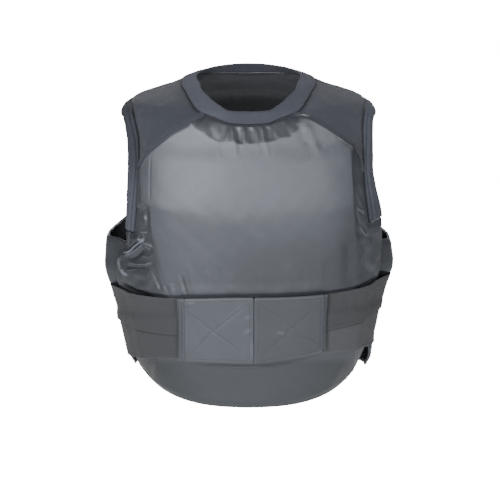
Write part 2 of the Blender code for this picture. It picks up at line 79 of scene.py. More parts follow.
# Edges of the collar round the neck: turn from the front in degrees, height
collarSeam = ((0, -46), (8, -44.5), (16, -38), (26, -30), (40, -20), (60, -11), (90, -6), (130, -9),
              (180, -14))
collarTop = ((0, -28), (10, -27), (17, -22), (26, -15.5), (38, -8.3), (51, -3), (65, -0.3), (90, 1.6),
             (180, 3))

# Seams and free edges: distance from the middle, height
yokeSeam = {
    "left": ((62, -33), (86, -48), (105, -59), (124, -76), (142, -94), (149, -104), (153, -113)),
    "right": ((62, -33), (84, -39), (100, -48), (118, -60), (136, -75), (149, -89), (156, -104),
              (161.5, -122)),
}
backYokeSeam = ((52, -12), (80, -26), (110, -48), (140, -76), (153, -98))
armhole = {
    "left": ((164, -33), (163, -37), (160, -46), (157, -58), (154, -73), (153, -90), (153, -113),
             (156, -157), (161, -208)),
    "right": ((164, -33), (163, -37), (161, -47), (160, -60), (160, -75), (161, -95), (162, -122),
              (165, -160), (170, -197)),
}
backArmhole = ((164, -33), (163, -37), (160, -47), (157, -60), (154, -76), (153, -98), (156, -150),
               (162, -200))
frontEdge = {
    "left": ((173, -210), (173, -230), (186, -250), (190, -270), (184, -310), (176, -360), (167, -398),
             (158, -424)),
    "right": ((189, -200), (190, -222), (189, -250), (186, -280), (182, -320), (176, -360), (166, -400),
              (154, -424)),
}
frontHem = ((0, -459), (55, -458), (90, -455), (118, -449), (140, -439))

# The back panel's free edge from the end of the band's back leg, forward under the arm and the front
# wing, and down: turn, height
backEdge = {
    "left": ((120, -227), (109, -234), (98, -237), (88, -236), (79, -231), (70, -228), (63, -227),
             (60.5, -233), (60.5, -250), (62, -285), (65, -320), (69, -352), (73, -380), (78, -406),
             (82, -432)),
    "right": ((120, -229), (109, -239), (98, -243), (88, -242), (79, -237), (70, -232), (64, -231),
              (61.5, -237), (61.5, -254), (63, -285), (66, -320), (70, -352), (74, -382), (78, -408),
              (82, -437)),
}
backHem = ((82, -434), (98, -444), (135, -455), (180, -459))

turnLength = 3.0  # millimetres a degree of turn is about long, for spreading points evenly
finer = 8         # grid steps for each of a seam's steps
# Steps along the collar, along a yoke's seam, and along the armhole under and over that seam's end
seamSteps = {"collarFront": 6, "collarSide": 16, "collarBack": 6, "Seam": 8, "Under": 6, "Over": 8}
# Grid steps down a panel's free edge and along half its hem
panelSteps = {"frontFree": 108, "frontHem": 150, "backFree": 120, "backHem": 200}
relaxRounds = {"coarse": 500, "fine": 40}


# 0 before start and 1 after end, with a soft step between: three t squared less two t cubed
def rise(value, start, end):
    t = np.clip((value - start) / (end - start), 0, 1)
    return t * t * (3 - 2 * t)


# 1 inside and 0 outside, with soft steps where it starts and where it fades
def between(value, start, full, fading, gone):
    return rise(value, start, full) * (1 - rise(value, fading, gone))


# Bell curve: e to the power of minus the squared distance from its middle, in half widths
def bell(value, middle, width):
    return np.exp(-(((value - middle) / width) ** 2))


def unit(vectors):
    return vectors / np.maximum(np.linalg.norm(vectors, axis=-1, keepdims=True), 1e-9)


# Points moved along their normals by a height of their own
def raised(points, normals, height):
    return points + normals * np.asarray(height)[..., None]


# Length passed at each point of a line, or down each column of a grid
def passed(line):
    steps = np.linalg.norm(np.diff(line, axis=0), axis=-1)
    return np.concatenate([np.zeros((1, *steps.shape[1:])), np.cumsum(steps, axis=0)])


# Curves end to end, each without its first point, which is the last of the one before
def joined(*curves):
    return np.concatenate([curves[0], *(curve[1:] for curve in curves[1:])])


# Curve through a table's rows without overshoot: a cubic between neighbouring rows, whose slope at a
# row is the harmonic mean of the two grades beside it, or level where they differ in sign
def smooth(at, table, column=1):
    rows = np.array(table, float)
    knots, values = rows[:, 0], rows[:, column]
    step = np.diff(knots)
    grade = np.diff(values) / step
    slope = np.concatenate([grade[:1], np.zeros(len(grade) - 1), grade[-1:]])
    both = grade[:-1] * grade[1:]
    total = np.where(both > 0, grade[:-1] + grade[1:], 1.0)
    slope[1:-1] = np.where(both > 0, 2 * both / total, 0.0)
    at = np.clip(at, knots[0], knots[-1])
    i = np.clip(np.searchsorted(knots, at) - 1, 0, len(step) - 1)
    t = (at - knots[i]) / step[i]
    start = (1 + 2 * t) * (1 - t) ** 2 * values[i] + t * (1 - t) ** 2 * step[i] * slope[i]
    return start + t**2 * (3 - 2 * t) * values[i + 1] + t**2 * (t - 1) * step[i] * slope[i + 1]


# The form's other measures at a height
def formAt(height):
    return [smooth(height, formRows, k) for k in range(1, len(formColumns))]


# Point of the form: x is half the width times the sine of the turn to the power 2 / squareness, and y
# is the front or back reach times the cosine to the same power
def formPoint(turn, height):
    halfWidth, front, back, widest, squareness = formAt(height)
    across, ahead = np.sin(np.radians(turn)), np.cos(np.radians(turn))
    reach = np.where(ahead > 0, front + widest, back - widest)
    x = halfWidth * np.sign(across) * np.abs(across) ** (2 / squareness)
    y = widest - np.sign(ahead) * reach * np.abs(ahead) ** (2 / squareness)
    return np.stack([x, y, height + 0 * x], axis=-1)


# Level of a point: |x / half width| and |y / reach| to the power of the squareness, added, less one
def formLevel(point):
    halfWidth, front, back, widest, squareness = formAt(point[..., 2])
    y = point[..., 1] - widest
    reach = np.where(y < 0, front + widest, back - widest)
    return np.abs(point[..., 0] / halfWidth) ** squareness + np.abs(y / reach) ** squareness - 1


# How fast the level changes along each axis, from half a step behind to half a step ahead
def levelSlope(point, step=0.5):
    change = [formLevel(point + step * axis) - formLevel(point - step * axis) for axis in np.eye(3)]
    return np.stack(change, axis=-1) / (2 * step)


# Slope of the level, one unit long
def formNormal(point):
    slope = levelSlope(point)
    return slope / np.linalg.norm(slope, axis=-1, keepdims=True)


# Points moved onto the form along its slope, in a few rounds
def ontoForm(points, rounds=6):
    for _ in range(rounds):
        slope = levelSlope(points)
        points = points - slope * (formLevel(points) / (slope**2).sum(-1))[..., None]
    return points


# A table of distances from the middle as turns: the arc sine of x / half width to the power of half
# the squareness
def onFront(table):
    x, height = np.array(table, float).T
    halfWidth, _, _, _, squareness = formAt(height)
    share = np.clip(np.abs(x) / halfWidth, 0, 1) ** (squareness / 2)
    return np.column_stack([np.degrees(np.arcsin(share)), height])


# The same behind: 180 degrees less the turn
def onBack(table):
    return onFront(table) * (-1, 1) + (180, 0)


# Smooth curve through pattern points in even steps
def along(points, count):
    points = np.array(points, float)
    far = passed(points)
    at = np.linspace(0, far[-1], count + 1)
    return np.stack([smooth(at, np.column_stack([far, points[:, k]])) for k in (0, 1)], axis=1)


# A line's points where these lengths are passed
def readLine(line, far, at):
    return np.stack([np.interp(at, far, values) for values in np.transpose(line)], axis=-1)


# The same from corner to corner, in straight runs
def straightAlong(corners, count):
    line = np.array(corners, float)
    far = passed(line)
    return readLine(line, far, np.linspace(0, far[-1], count + 1))


# The collar's seam between two turns, in even steps of its length on the form
def roundNeck(start, end, count):
    fine = np.linspace(start, end, 801)
    far = passed(formPoint(fine, smooth(fine, collarSeam)))
    turn = np.interp(np.linspace(0, far[-1], count + 1), far, fine)
    return np.column_stack([turn, smooth(turn, collarSeam)])


# The seams of one side as (turn, height) on the right half. A yoke's seam meets the armhole at its
# end, which parts the armhole into a stretch over it and one under it.
def seamsOf(side):
    lines = {"front": onFront(yokeSeam[side]), "back": onBack(backYokeSeam)}
    arms = {"front": onFront(armhole[side]), "back": onBack(backArmhole)}
    shoulder = arms["front"][0, 1]
    found = {}
    for part, line in lines.items():
        arm = arms[part]
        arm[0] = 90, shoulder
        line[0, 1] = smooth(line[0, 0], collarSeam)
        over, under = arm[arm[:, 1] > line[-1, 1] + 1], arm[arm[:, 1] < line[-1, 1] - 1]
        curves = {"Seam": line, "Over": np.vstack([over, line[-1:]]), "Under": np.vstack([line[-1:], under])}
        for name, curve in curves.items():
            found[part + name] = along(curve, finer * seamSteps[name])
    turns = (0.0, lines["front"][0, 0], lines["back"][0, 0], 180.0)
    for name, start, end in zip(("collarFront", "collarSide", "collarBack"), turns[:-1], turns[1:]):
        found[name] = roundNeck(start, end, finer * seamSteps[name])
    return found


seam = {side: seamsOf(side) for side in sides}


# Some of a side's seams, laid where they really are
def edgesOf(side, *names):
    return [seam[side][name] * (sides[side], 1) for name in names]


# Share of a pattern curve's length that is passed at each point
def farAlong(curve):
    far = passed(curve * (turnLength, 1))
    return far / far[-1]


# The four edges of a panel: along the collar and the yokes, along the hem, and down each armhole and
# free side. The half that isn't on the right is turned over.
def panelEdges(part):
    halves = []
    for side in sides:
        seams = seam[side]
        if part == "front":
            neck, free, hem = seams["collarFront"], onFront(frontEdge[side]), onFront(frontHem)
        else:
            neck, free, hem = seams["collarBack"][::-1], backEdge[side], backHem[::-1]
        under, free = seams[part + "Under"], along(free, panelSteps[part + "Free"])
        hem = along(hem, panelSteps[part + "Hem"])
        edge = joined(under, np.linspace(under[-1], free[0], finer + 1), free)
        hem = np.vstack([hem, edge[-1:]]) if part == "front" else hem[:-1]
        half = [joined(neck, seams[part + "Seam"]), hem, edge]
        if side == "left":
            half = [curve * (-1, 1) + (360 * (part == "back"), 0) for curve in half]
        halves.append(half)
    first, second = halves if part == "front" else halves[::-1]
    top, hem = (joined(first[k][::-1], second[k]) for k in (0, 1))
    return top, readLine(hem, farAlong(hem), farAlong(top)), first[2], second[2]


# Grid with its inner points spread: each becomes the mean of the eight round it, weighted so that rows
# and columns lie evenly and never cross
def relaxed(grid, rounds):
    grid = grid * (turnLength, 1)
    for _ in range(rounds):
        east, west, south, north = grid[1:-1, 2:], grid[1:-1, :-2], grid[2:, 1:-1], grid[:-2, 1:-1]
        across, down = east - west, south - north
        corners = grid[2:, 2:] - grid[:-2, 2:] - grid[2:, :-2] + grid[:-2, :-2]
        over, under = (down**2).sum(-1, keepdims=True), (across**2).sum(-1, keepdims=True)
        skew = (across * down).sum(-1, keepdims=True)
        mean = over * (east + west) + under * (south + north) - skew * corners / 2
        grid[1:-1, 1:-1] = mean / (2 * (over + under))
    return grid / (turnLength, 1)


# Values of a grid at these rows and columns, by straight lines between its points
def readGrid(grid, rows, columns):
    top = np.clip(np.floor(rows).astype(int), 0, grid.shape[0] - 2)
    first = np.clip(np.floor(columns).astype(int), 0, grid.shape[1] - 2)
    down, right = (rows - top)[..., None], (columns - first)[..., None]
    upper = grid[top, first] * (1 - right) + grid[top, first + 1] * right
    lower = grid[top + 1, first] * (1 - right) + grid[top + 1, first + 1] * right
    return upper * (1 - down) + lower * down


# Pattern grid between four edges: straight lines from top to bottom, plus the bow of both sides, relaxed
# on every few rows and columns, then on all
def filled(top, bottom, left, right, every=(4, 8)):
    across, down = (farAlong(top) + farAlong(bottom)) / 2, (farAlong(left) + farAlong(right)) / 2
    u, v = across[None, :, None], down[:, None, None]
    ruled = (1 - v) * top + v * bottom
    bows = [edge[:, None] - (1 - v) * edge[0] - v * edge[-1] for edge in (left, right)]
    grid = ruled + (1 - u) * bows[0] + u * bows[1]
    coarse = grid[:: every[0], :: every[1]]
    moved = relaxed(coarse, relaxRounds["coarse"]) - coarse
    rows, columns = np.arange(len(grid)) / every[0], np.arange(grid.shape[1]) / every[1]
    return relaxed(grid + readGrid(moved, rows[:, None], columns[None]), relaxRounds["fine"])


# Places along a grid whose steps are cut into these numbers of parts
def cut(parts):
    places = [step + np.arange(count) / count for step, count in enumerate(parts)]
    return np.concatenate([*places, [len(parts)]])


# How many parts each of a number of steps is cut into: more for the first and last few
def atEnds(count, few, parts):
    steps = np.ones(count, int)
    steps[:few] = steps[count - few:] = parts
    return steps


# Distance of each point from chains of pattern points laid on the form
def distanceTo(points, *curves):
    nearest = np.full(points.shape[:-1], np.inf)
    for curve in curves:
        ends = formPoint(*curve.T)
        for start, end in zip(ends[:-1], ends[1:]):
            run, away = end - start, points - start
            share = np.clip(away @ run / max(run @ run, 1e-9), 0, 1)
            nearest = np.minimum(nearest, np.linalg.norm(away - share[..., None] * run, axis=-1))
    return nearest


# Where the photograph shows a point: pixels across and down
def pictureOf(points):
    tilt = np.radians(cameraPlan["elevation"])
    away = points * mm - np.array(cameraPlan["target"])
    depth = cameraPlan["distance"] + away[..., 1] * np.cos(tilt) - away[..., 2] * np.sin(tilt)
    up = away[..., 1] * np.sin(tilt) + away[..., 2] * np.cos(tilt)
    reach = cameraPlan["lens"] / cameraPlan["sensor"] * cameraPlan["picture"] / depth
    return cameraPlan["picture"] / 2 + reach * away[..., 0], cameraPlan["picture"] / 2 - reach * up


# Distance from a chain of picture points, and the share of the chain that is passed there
def nearPath(across, down, path):
    path = np.array(path, float)
    far = passed(path)
    nearest, share = np.full(across.shape, np.inf), np.zeros(across.shape)
    for start, run, before, length in zip(path, np.diff(path, axis=0), far, np.diff(far)):
        dx, dy = across - start[0], down - start[1]
        t = np.clip((dx * run[0] + dy * run[1]) / length**2, 0, 1)
        away = np.hypot(dx - t * run[0], dy - t * run[1])
        share = np.where(away < nearest, (before + t * length) / far[-1], share)
        nearest = np.minimum(nearest, away)
    return nearest, share


# Relief of folds: each is a ridge whose height falls off as a bell with the distance from its path,
# and fades towards both ends. Columns: path in the picture, half width in pixels, height in millimetres
def foldRelief(across, down, folds):
    relief = np.zeros(across.shape)
    for path, width, height in folds:
        away, share = nearPath(across, down, path)
        relief += height * between(share, -0.02, 0.25, 0.75, 1.02) * bell(away, 0, width)
    return relief


# Distance in pixels inside a closed outline in the picture, negative outside
def insideOutline(across, down, outline):
    outline = np.array(outline, float)
    inside = np.zeros(across.shape, bool)
    for (x0, y0), (x1, y1) in zip(outline, np.roll(outline, -1, axis=0)):
        if y0 != y1:
            passing = (down > min(y0, y1)) & (down <= max(y0, y1))
            inside ^= passing & (across < x0 + (down - y0) * (x1 - x0) / (y1 - y0))
    away, _ = nearPath(across, down, np.vstack([outline, outline[:1]]))
    return np.where(inside, away, -away)


# Even, seeded waviness: a sum of sines with fixed directions and phases, about -1 to 1
def waviness(u, v, length, seed, count=7):
    rng = np.random.default_rng(seed)
    total = np.zeros(np.broadcast(u, v).shape)
    for angle, phase, stretch in zip(rng.uniform(0, np.pi, count), rng.uniform(0, 7, count),
                                     rng.uniform(0.6, 1.6, count)):
        total += np.sin(2 * np.pi * (u * np.cos(angle) + v * np.sin(angle)) * stretch / length + phase)
    return total / count**0.5 / 1.4


# The sheet with its border moved inwards, and the rows beside it eased along. A border's direction is
# square to the edge in the cloth, and at a corner both directions are mitred.
def drawnIn(points, normals, by, ringClosed=False):
    rows, columns = points.shape[:2]
    ease = lambda steps: np.clip(1 - steps / 4.0, 0, 1) ** 1.5
    r, c = np.arange(rows)[:, None], np.arange(columns)[None, :]
    edges = [(points[0], normals[0], points[1]), (points[-1], normals[-1], points[-2])]
    fades = [ease(r) + 0 * c, ease(rows - 1 - r) + 0 * c]
    if not ringClosed:
        edges += [(points[:, k], normals[:, k], points[:, beside]) for k, beside in ((0, 1), (-1, -2))]
        fades += [ease(c) + 0 * r, ease(columns - 1 - c) + 0 * r]
    inwards = []
    for k, (edge, normal, inner) in enumerate(edges):
        ahead = np.roll(edge, -1, 0) - np.roll(edge, 1, 0) if ringClosed else np.gradient(edge, axis=0)
        inward = unit(np.cross(normal, ahead))
        inward *= np.sign(((inner - edge) * inward).sum(-1, keepdims=True))
        inwards.append(inward[None] if k < 2 else inward[:, None])
    total, share = 0, 1
    for k, (inward, fade) in enumerate(zip(inwards, fades)):
        total = total + inward * fade[..., None]
        for other, otherFade in list(zip(inwards, fades))[k + 1:]:
            share = share + (inward * other).sum(-1) * fade * otherFade
    return points + by * total / np.maximum(share, 0.6)[..., None]


# A pattern laid on the form, with its border drawn in by half the thickness of its rim
def laid(pattern, by, ringClosed=False):
    points = formPoint(*np.moveaxis(pattern, -1, 0))
    normals = formNormal(points)
    return drawnIn(points, normals, by, ringClosed), normals


# Mean width and length of a grid and its area, in metres
def clothSize(points):
    wide, long = passed(points.swapaxes(0, 1))[-1].mean() * mm, passed(points)[-1].mean() * mm
    a, b = points[1:, 1:] - points[:-1, :-1], points[1:, :-1] - points[:-1, 1:]
    return wide, long, np.linalg.norm(np.cross(a, b), axis=-1).sum() / 2 * mm**2


# Lengths along a grid's rows and columns, for the weave, in millimetres. A strip has one length for
# all its rows, so that its ribs stay square to it.
def clothPlaces(points):
    u, v = passed(points.swapaxes(0, 1)).mean(1), passed(points).mean(1)
    return np.stack(np.meshgrid(u - u[-1] / 2, v), axis=-1)


# Lengths round and down the form from its middle, so that a panel's weave stays level and plumb
def panelPlaces(pattern, turnStep=2.0, heightStep=5.0, lowest=-480.0):
    turns, heights = np.arange(0, 361, turnStep), np.arange(lowest, 1, heightStep)
    table = formPoint(turns[None], heights[:, None])
    lengths = np.stack([passed(table.swapaxes(0, 1)).T, passed(table)], axis=-1)
    turn, height = pattern[..., 0], pattern[..., 1]
    places = readGrid(lengths, (height - lowest) / heightStep, np.abs(turn) / turnStep)
    return places * np.stack([np.sign(turn), np.ones(turn.shape)], axis=-1)


# Border of a grid as loops of vertex numbers, each with the vertices just inside it
def borderLoops(rows, columns, ringClosed):
    number = np.arange(rows * columns).reshape(rows, columns)
    if ringClosed:
        return [(number[0], number[1]), (number[-1][::-1], number[-2][::-1])]
    loop = np.concatenate([number[0, :-1], number[:-1, -1], number[-1, :0:-1], number[:0:-1, 0]])
    r, c = np.divmod(loop, columns)
    return [(loop, number[np.clip(r, 1, rows - 2), np.clip(c, 1, columns - 2)])]


# Four corners of each face between a grid's rows and columns
def gridFaces(rows, columns, ringClosed=False):
    number = np.arange(rows * columns).reshape(rows, columns)
    if ringClosed:
        number = np.concatenate([number, number[:, :1]], axis=1)
    corners = number[:-1, :-1], number[1:, :-1], number[1:, 1:], number[:-1, 1:]
    return np.stack(corners, axis=-1).reshape(-1, 4)


# One cloth piece as a closed shell: an outer grid, an inner grid, and between them a rounded rim, each
# ring of which turns a little further round half a circle as wide as the cloth is thick. The inner grid
# may be coarser: it then keeps every second row and column, and the rim ends in wedges.
def clothShell(name, outer, inner, places, tone, innerShade=0.6, ringClosed=False, rimRings=4, coarser=False):
    rows, columns = outer.shape[:2]
    count, step = rows * columns, 2 if coarser else 1
    back = inner[::step, ::step]
    points, low = [outer.reshape(-1, 3), back.reshape(-1, 3)], inner.reshape(-1, 3)
    # The inner face is painted darker than the outer one by this factor: painted shade on the inside of the
    # cloth
    tones = [tone.reshape(-1), tone[::step, ::step].reshape(-1) * innerShade]
    uvs = [places.reshape(-1, 2), places[::step, ::step].reshape(-1, 2)]
    faces = [gridFaces(rows, columns, ringClosed), gridFaces(*back.shape[:2], ringClosed)[:, ::-1] + count]
    wedges = []
    for loop, within in borderLoops(rows, columns, ringClosed):
        half, middle = (points[0][loop] - low[loop]) / 2, (points[0][loop] + low[loop]) / 2
        ahead = unit(np.roll(middle, -1, 0) - np.roll(middle, 1, 0))
        outward = middle - (points[0][within] + low[within]) / 2
        for axis in (ahead, unit(half)):
            outward -= (outward * axis).sum(-1, keepdims=True) * axis
        outward = unit(outward) * np.linalg.norm(half, axis=-1, keepdims=True)
        before = loop
        for k in range(1, rimRings + 1):
            after = np.roll(before, -1)
            if k < rimRings:
                angle = np.pi * k / rimRings
                ring = sum(map(len, points)) + np.arange(len(loop))
                points.append(middle + half * np.cos(angle) + outward * np.sin(angle))
                tones.append(tones[0][loop])
                uvs.append(uvs[0][loop])
            elif coarser:
                ring = (loop[::2] // columns // 2) * back.shape[1] + loop[::2] % columns // 2 + count
                wedges.append(np.stack([before[::2], before[1::2], ring], axis=1))
                before, after = before[1::2], after[1::2]
            else:
                ring = loop + count
            faces.append(np.stack([before, after, np.roll(ring, -1), ring], axis=1))
            before = ring
    points = np.concatenate(points) * mm
    faces = [np.concatenate(faces)] + ([np.concatenate(wedges)] if wedges else [])
    return addMesh(name, points, outwards(points, faces), np.concatenate(uvs), np.concatenate(tones))


# The faces, all turned over if the closed shape that they make has a negative volume
def outwards(points, faces):
    volume = 0
    for some in faces:
        corners = points[some]
        for k in range(1, some.shape[1] - 1):
            volume += (corners[:, 0] * np.cross(corners[:, k], corners[:, k + 1])).sum()
    return faces if volume > 0 else [some[:, ::-1] for some in faces]


# A mesh from points in metres, and from faces in arrays of one number of corners each
def addMesh(name, points, faces, uvs=None, tones=None):
    mesh = bpy.data.meshes.new(name)
    corners = np.concatenate([some.ravel() for some in faces])
    sizes = np.concatenate([np.full(len(some), some.shape[1]) for some in faces])
    mesh.vertices.add(len(points))
    mesh.vertices.foreach_set("co", points.ravel())
    mesh.loops.add(len(corners))
    mesh.loops.foreach_set("vertex_index", corners)
    mesh.polygons.add(len(sizes))
    mesh.polygons.foreach_set("loop_start", np.cumsum(sizes) - sizes)
    mesh.polygons.foreach_set("use_smooth", np.ones(len(sizes), bool))
    if uvs is not None:
        mesh.uv_layers.new(name="cloth").data.foreach_set("uv", (uvs[corners] * mm).ravel())
        mesh.attributes.new("tone", "FLOAT", "POINT").data.foreach_set("value", tones)
    mesh.update(calc_edges=True)
    mesh.validate()
    piece = bpy.data.objects.new(name, mesh)
    bpy.context.scene.collection.objects.link(piece)
    return piece


# Short sewn stitches along a line of points: each is a spindle with rings of corners, thin at both
# ends, that lies on the cloth
stitchPlan = {"pitch": 3.4, "length": 2.5, "radius": 0.34, "sunk": 0.1, "corners": 6,
              "rings": ((-1.0, 0.12), (-0.72, 0.75), (0.0, 1.0), (0.72, 0.75), (1.0, 0.12))}


# Corners of the stitches by stitch, ring, corner and axis
def stitchRow(line, normals):
    pitch, far = stitchPlan["pitch"], passed(line)
    starts = np.arange(pitch / 2, far[-1] - pitch / 2, pitch)
    shares, widths = np.array(stitchPlan["rings"]).T
    middle = readLine(line, far, starts[:, None] + shares * stitchPlan["length"] / 2)
    up = unit(readLine(normals, far, starts))[:, None, None]
    ahead = unit(middle[:, -1] - middle[:, 0])[:, None, None]
    side = unit(np.cross(ahead, up))
    angle = np.linspace(0, 2 * np.pi, stitchPlan["corners"], endpoint=False)[:, None]
    radius = (widths * stitchPlan["radius"])[:, None, None]
    return middle[:, :, None] - up * stitchPlan["sunk"] + radius * (np.cos(angle) * side + np.sin(angle) * up)


def addStitches(name, rows):
    rings = np.concatenate(rows)
    number = np.arange(rings[..., 0].size).reshape(rings.shape[:3])
    beside = np.roll(number, -1, axis=2)
    quads = np.stack([number[:, :-1], beside[:, :-1], beside[:, 1:], number[:, 1:]], axis=-1).reshape(-1, 4)
    ends = ((0, (3, 2, 1, 0)), (0, (5, 4, 3, 0)), (-1, (0, 1, 2, 3)), (-1, (0, 3, 4, 5)))
    caps = [number[:, end][:, corners] for end, corners in ends]
    points = rings.reshape(-1, 3) * mm
    dress(addMesh(name, points, outwards(points, [np.concatenate([quads, *caps])])), "thread")


# A row of stitches at these rows and columns of a grid
def stitchesAt(outer, normals, rows, columns):
    return stitchRow(readGrid(outer, rows, columns), readGrid(normals, rows, columns))


# A row of stitches this far in from one border of a grid, only below a height if one is given
def insetLine(outer, normals, border, inset, highest=np.inf):
    turned = {"top": lambda g: g, "bottom": lambda g: g[::-1], "first": lambda g: g.swapaxes(0, 1),
              "last": lambda g: g.swapaxes(0, 1)[::-1]}[border]
    grid = turned(outer)
    far, across = passed(grid), passed(grid[0])
    columns = np.arange(grid.shape[1])
    rows = np.array([np.interp(inset, far[:, k], np.arange(len(far))) for k in columns])
    shown = (across >= inset) & (across <= across[-1] - inset) & (grid[0, :, 2] < highest)
    return stitchesAt(grid, turned(normals), rows[shown], columns[shown])


# A row of stitches along a line given in pixels of the picture
def picturedLine(outer, normals, line):
    across, down = pictureOf(outer)
    ends = [np.unravel_index(np.argmin((across - x) ** 2 + (down - y) ** 2), across.shape) for x, y in line]
    return stitchesAt(outer, normals, *straightAlong(ends, 60).T)


# Materials. Each shared effect is one node group, placed in every material that uses it.
socketKinds = {"Place": "Vector", "Dye": "Color", "Colour": "Color"}


# An empty node group with its named sockets
def newGroup(name, inputs, outputs):
    group = bpy.data.node_groups.new(name, "ShaderNodeTree")
    for way, labels in (("INPUT", inputs), ("OUTPUT", outputs)):
        for label in labels:
            kind = "NodeSocket" + socketKinds.get(label, "Float")
            group.interface.new_socket(label, in_out=way, socket_type=kind)
    return group, group.nodes.new("NodeGroupInput").outputs, group.nodes.new("NodeGroupOutput")


# Inputs of a node: a socket is linked, and anything else is a value
def wire(tree, node, values):
    for key, value in values.items():
        if isinstance(value, bpy.types.NodeSocket):
            tree.links.new(value, node.inputs[key])
        else:
            node.inputs[key].default_value = value
    return node


def addNode(tree, kind, values):
    return wire(tree, tree.nodes.new("ShaderNode" + kind), values)


def addGroup(tree, group, values):
    node = tree.nodes.new("ShaderNodeGroup")
    node.node_tree = group
    return wire(tree, node, values)


def calc(tree, operation, *values, clamp=False):
    node = addNode(tree, "Math", {})
    node.operation, node.use_clamp = operation, clamp
    return wire(tree, node, dict(enumerate(values))).outputs[0]


def noiseOf(tree, place, scale, detail):
    return addNode(tree, "TexNoise", {"Vector": place, "Scale": scale, "Detail": detail}).outputs[0]


# |sin(pi x)|: one round thread a unit
def threadOf(tree, value):
    return calc(tree, "ABSOLUTE", calc(tree, "SINE", calc(tree, "MULTIPLY", value, np.pi)))


# Heights of the weaves, each from u and v, which count threads across and along, or from the place.
# Satin: long floats of the upright threads, each tied down once in five rows, two rows on from its
# neighbour
def satinHeight(tree, u, v, place):
    phase = calc(tree, "FRACT", calc(tree, "MULTIPLY_ADD", calc(tree, "FLOOR", u), 0.4,
                                     calc(tree, "MULTIPLY", v, 0.2)))
    tied = calc(tree, "MULTIPLY", calc(tree, "ABSOLUTE", calc(tree, "SUBTRACT", phase, 0.5)), 6.0, clamp=True)
    return calc(tree, "MULTIPLY", threadOf(tree, u), calc(tree, "MULTIPLY_ADD", tied, 0.5, 0.5))


# Jersey: columns of V-shaped loops
def jerseyHeight(tree, u, v, place):
    slant = calc(tree, "ABSOLUTE", calc(tree, "SUBTRACT", calc(tree, "FRACT", u), 0.5))
    loop = threadOf(tree, calc(tree, "MULTIPLY_ADD", slant, 1.3, v))
    return calc(tree, "MULTIPLY_ADD", threadOf(tree, u), 0.5, calc(tree, "MULTIPLY", loop, 0.5))


# Rib: raised columns of loops with a furrow between two
def ribHeight(tree, u, v, place):
    rib = calc(tree, "POWER", threadOf(tree, u), 0.6)
    return calc(tree, "MULTIPLY_ADD", rib, 0.75, calc(tree, "MULTIPLY", threadOf(tree, v), 0.25))


# Woven elastic: cords along the band, each crossed by fine picks
def elasticHeight(tree, u, v, place):
    picks = calc(tree, "MULTIPLY_ADD", threadOf(tree, u), 0.35, 0.65)
    return calc(tree, "MULTIPLY", threadOf(tree, v), picks)


# Plain weave with a brushed nap: threads over and under each other, softened by fine noise
def brushedHeight(tree, u, v, place):
    weave = calc(tree, "MULTIPLY", calc(tree, "MAXIMUM", threadOf(tree, u), threadOf(tree, v)), 0.3)
    return calc(tree, "MULTIPLY_ADD", noiseOf(tree, place, 1400.0, 2.0), 0.7, weave)


# Twisted yarn: fine noise
def twistHeight(tree, u, v, place):
    return noiseOf(tree, place, 900.0, 1.0)


# A weave's height as a node group, given how wide a thread is across and along, in metres
def weaveGroup(name, heightOf):
    group, given, out = newGroup(name + " weave", ("Place", "Across", "Along"), ("Height",))
    place = addNode(group, "SeparateXYZ", {0: given["Place"]}).outputs
    u, v = calc(group, "DIVIDE", place[0], given["Across"]), calc(group, "DIVIDE", place[1], given["Along"])
    wire(group, out, {"Height": heightOf(group, u, v, given["Place"])})
    return group


# Colour of the cloth: the dye times the tone painted on the piece, which carries painted shade and painted
# highlights, cloudy over a few centimetres and speckled by the yarn, and the roughness that goes with it
def clothTone():
    group, given, out = newGroup("cloth tone", ("Dye", "Tone", "Place", "Clouds", "Yarn", "Rough"),
                                 ("Colour", "Roughness"))
    clouds, yarn = (calc(group, "SUBTRACT", noiseOf(group, given["Place"], *noise), 0.5)
                    for noise in ((22.0, 3.0), (420.0, 2.0)))
    cloudy = calc(group, "MULTIPLY_ADD", clouds, given["Clouds"], 1.0)
    shade = calc(group, "MULTIPLY", calc(group, "MULTIPLY_ADD", yarn, given["Yarn"], cloudy), given["Tone"])
    scaled = addNode(group, "VectorMath", {})
    scaled.operation = "SCALE"
    wire(group, scaled, {0: given["Dye"], "Scale": shade})
    tight = calc(group, "MULTIPLY", given["Rough"], calc(group, "MULTIPLY_ADD", given["Tone"], 0.45, 0.55))
    rough = calc(group, "MULTIPLY_ADD", clouds, 0.04, tight)
    wire(group, out, {"Colour": scaled.outputs[0], "Roughness": rough})
    return group


weaves = {name: weaveGroup(name, heightOf) for name, heightOf in (
    ("satin", satinHeight), ("jersey", jerseyHeight), ("rib", ribHeight), ("elastic", elasticHeight),
    ("brushed", brushedHeight), ("twist", twistHeight))}
toneGroup = clothTone()

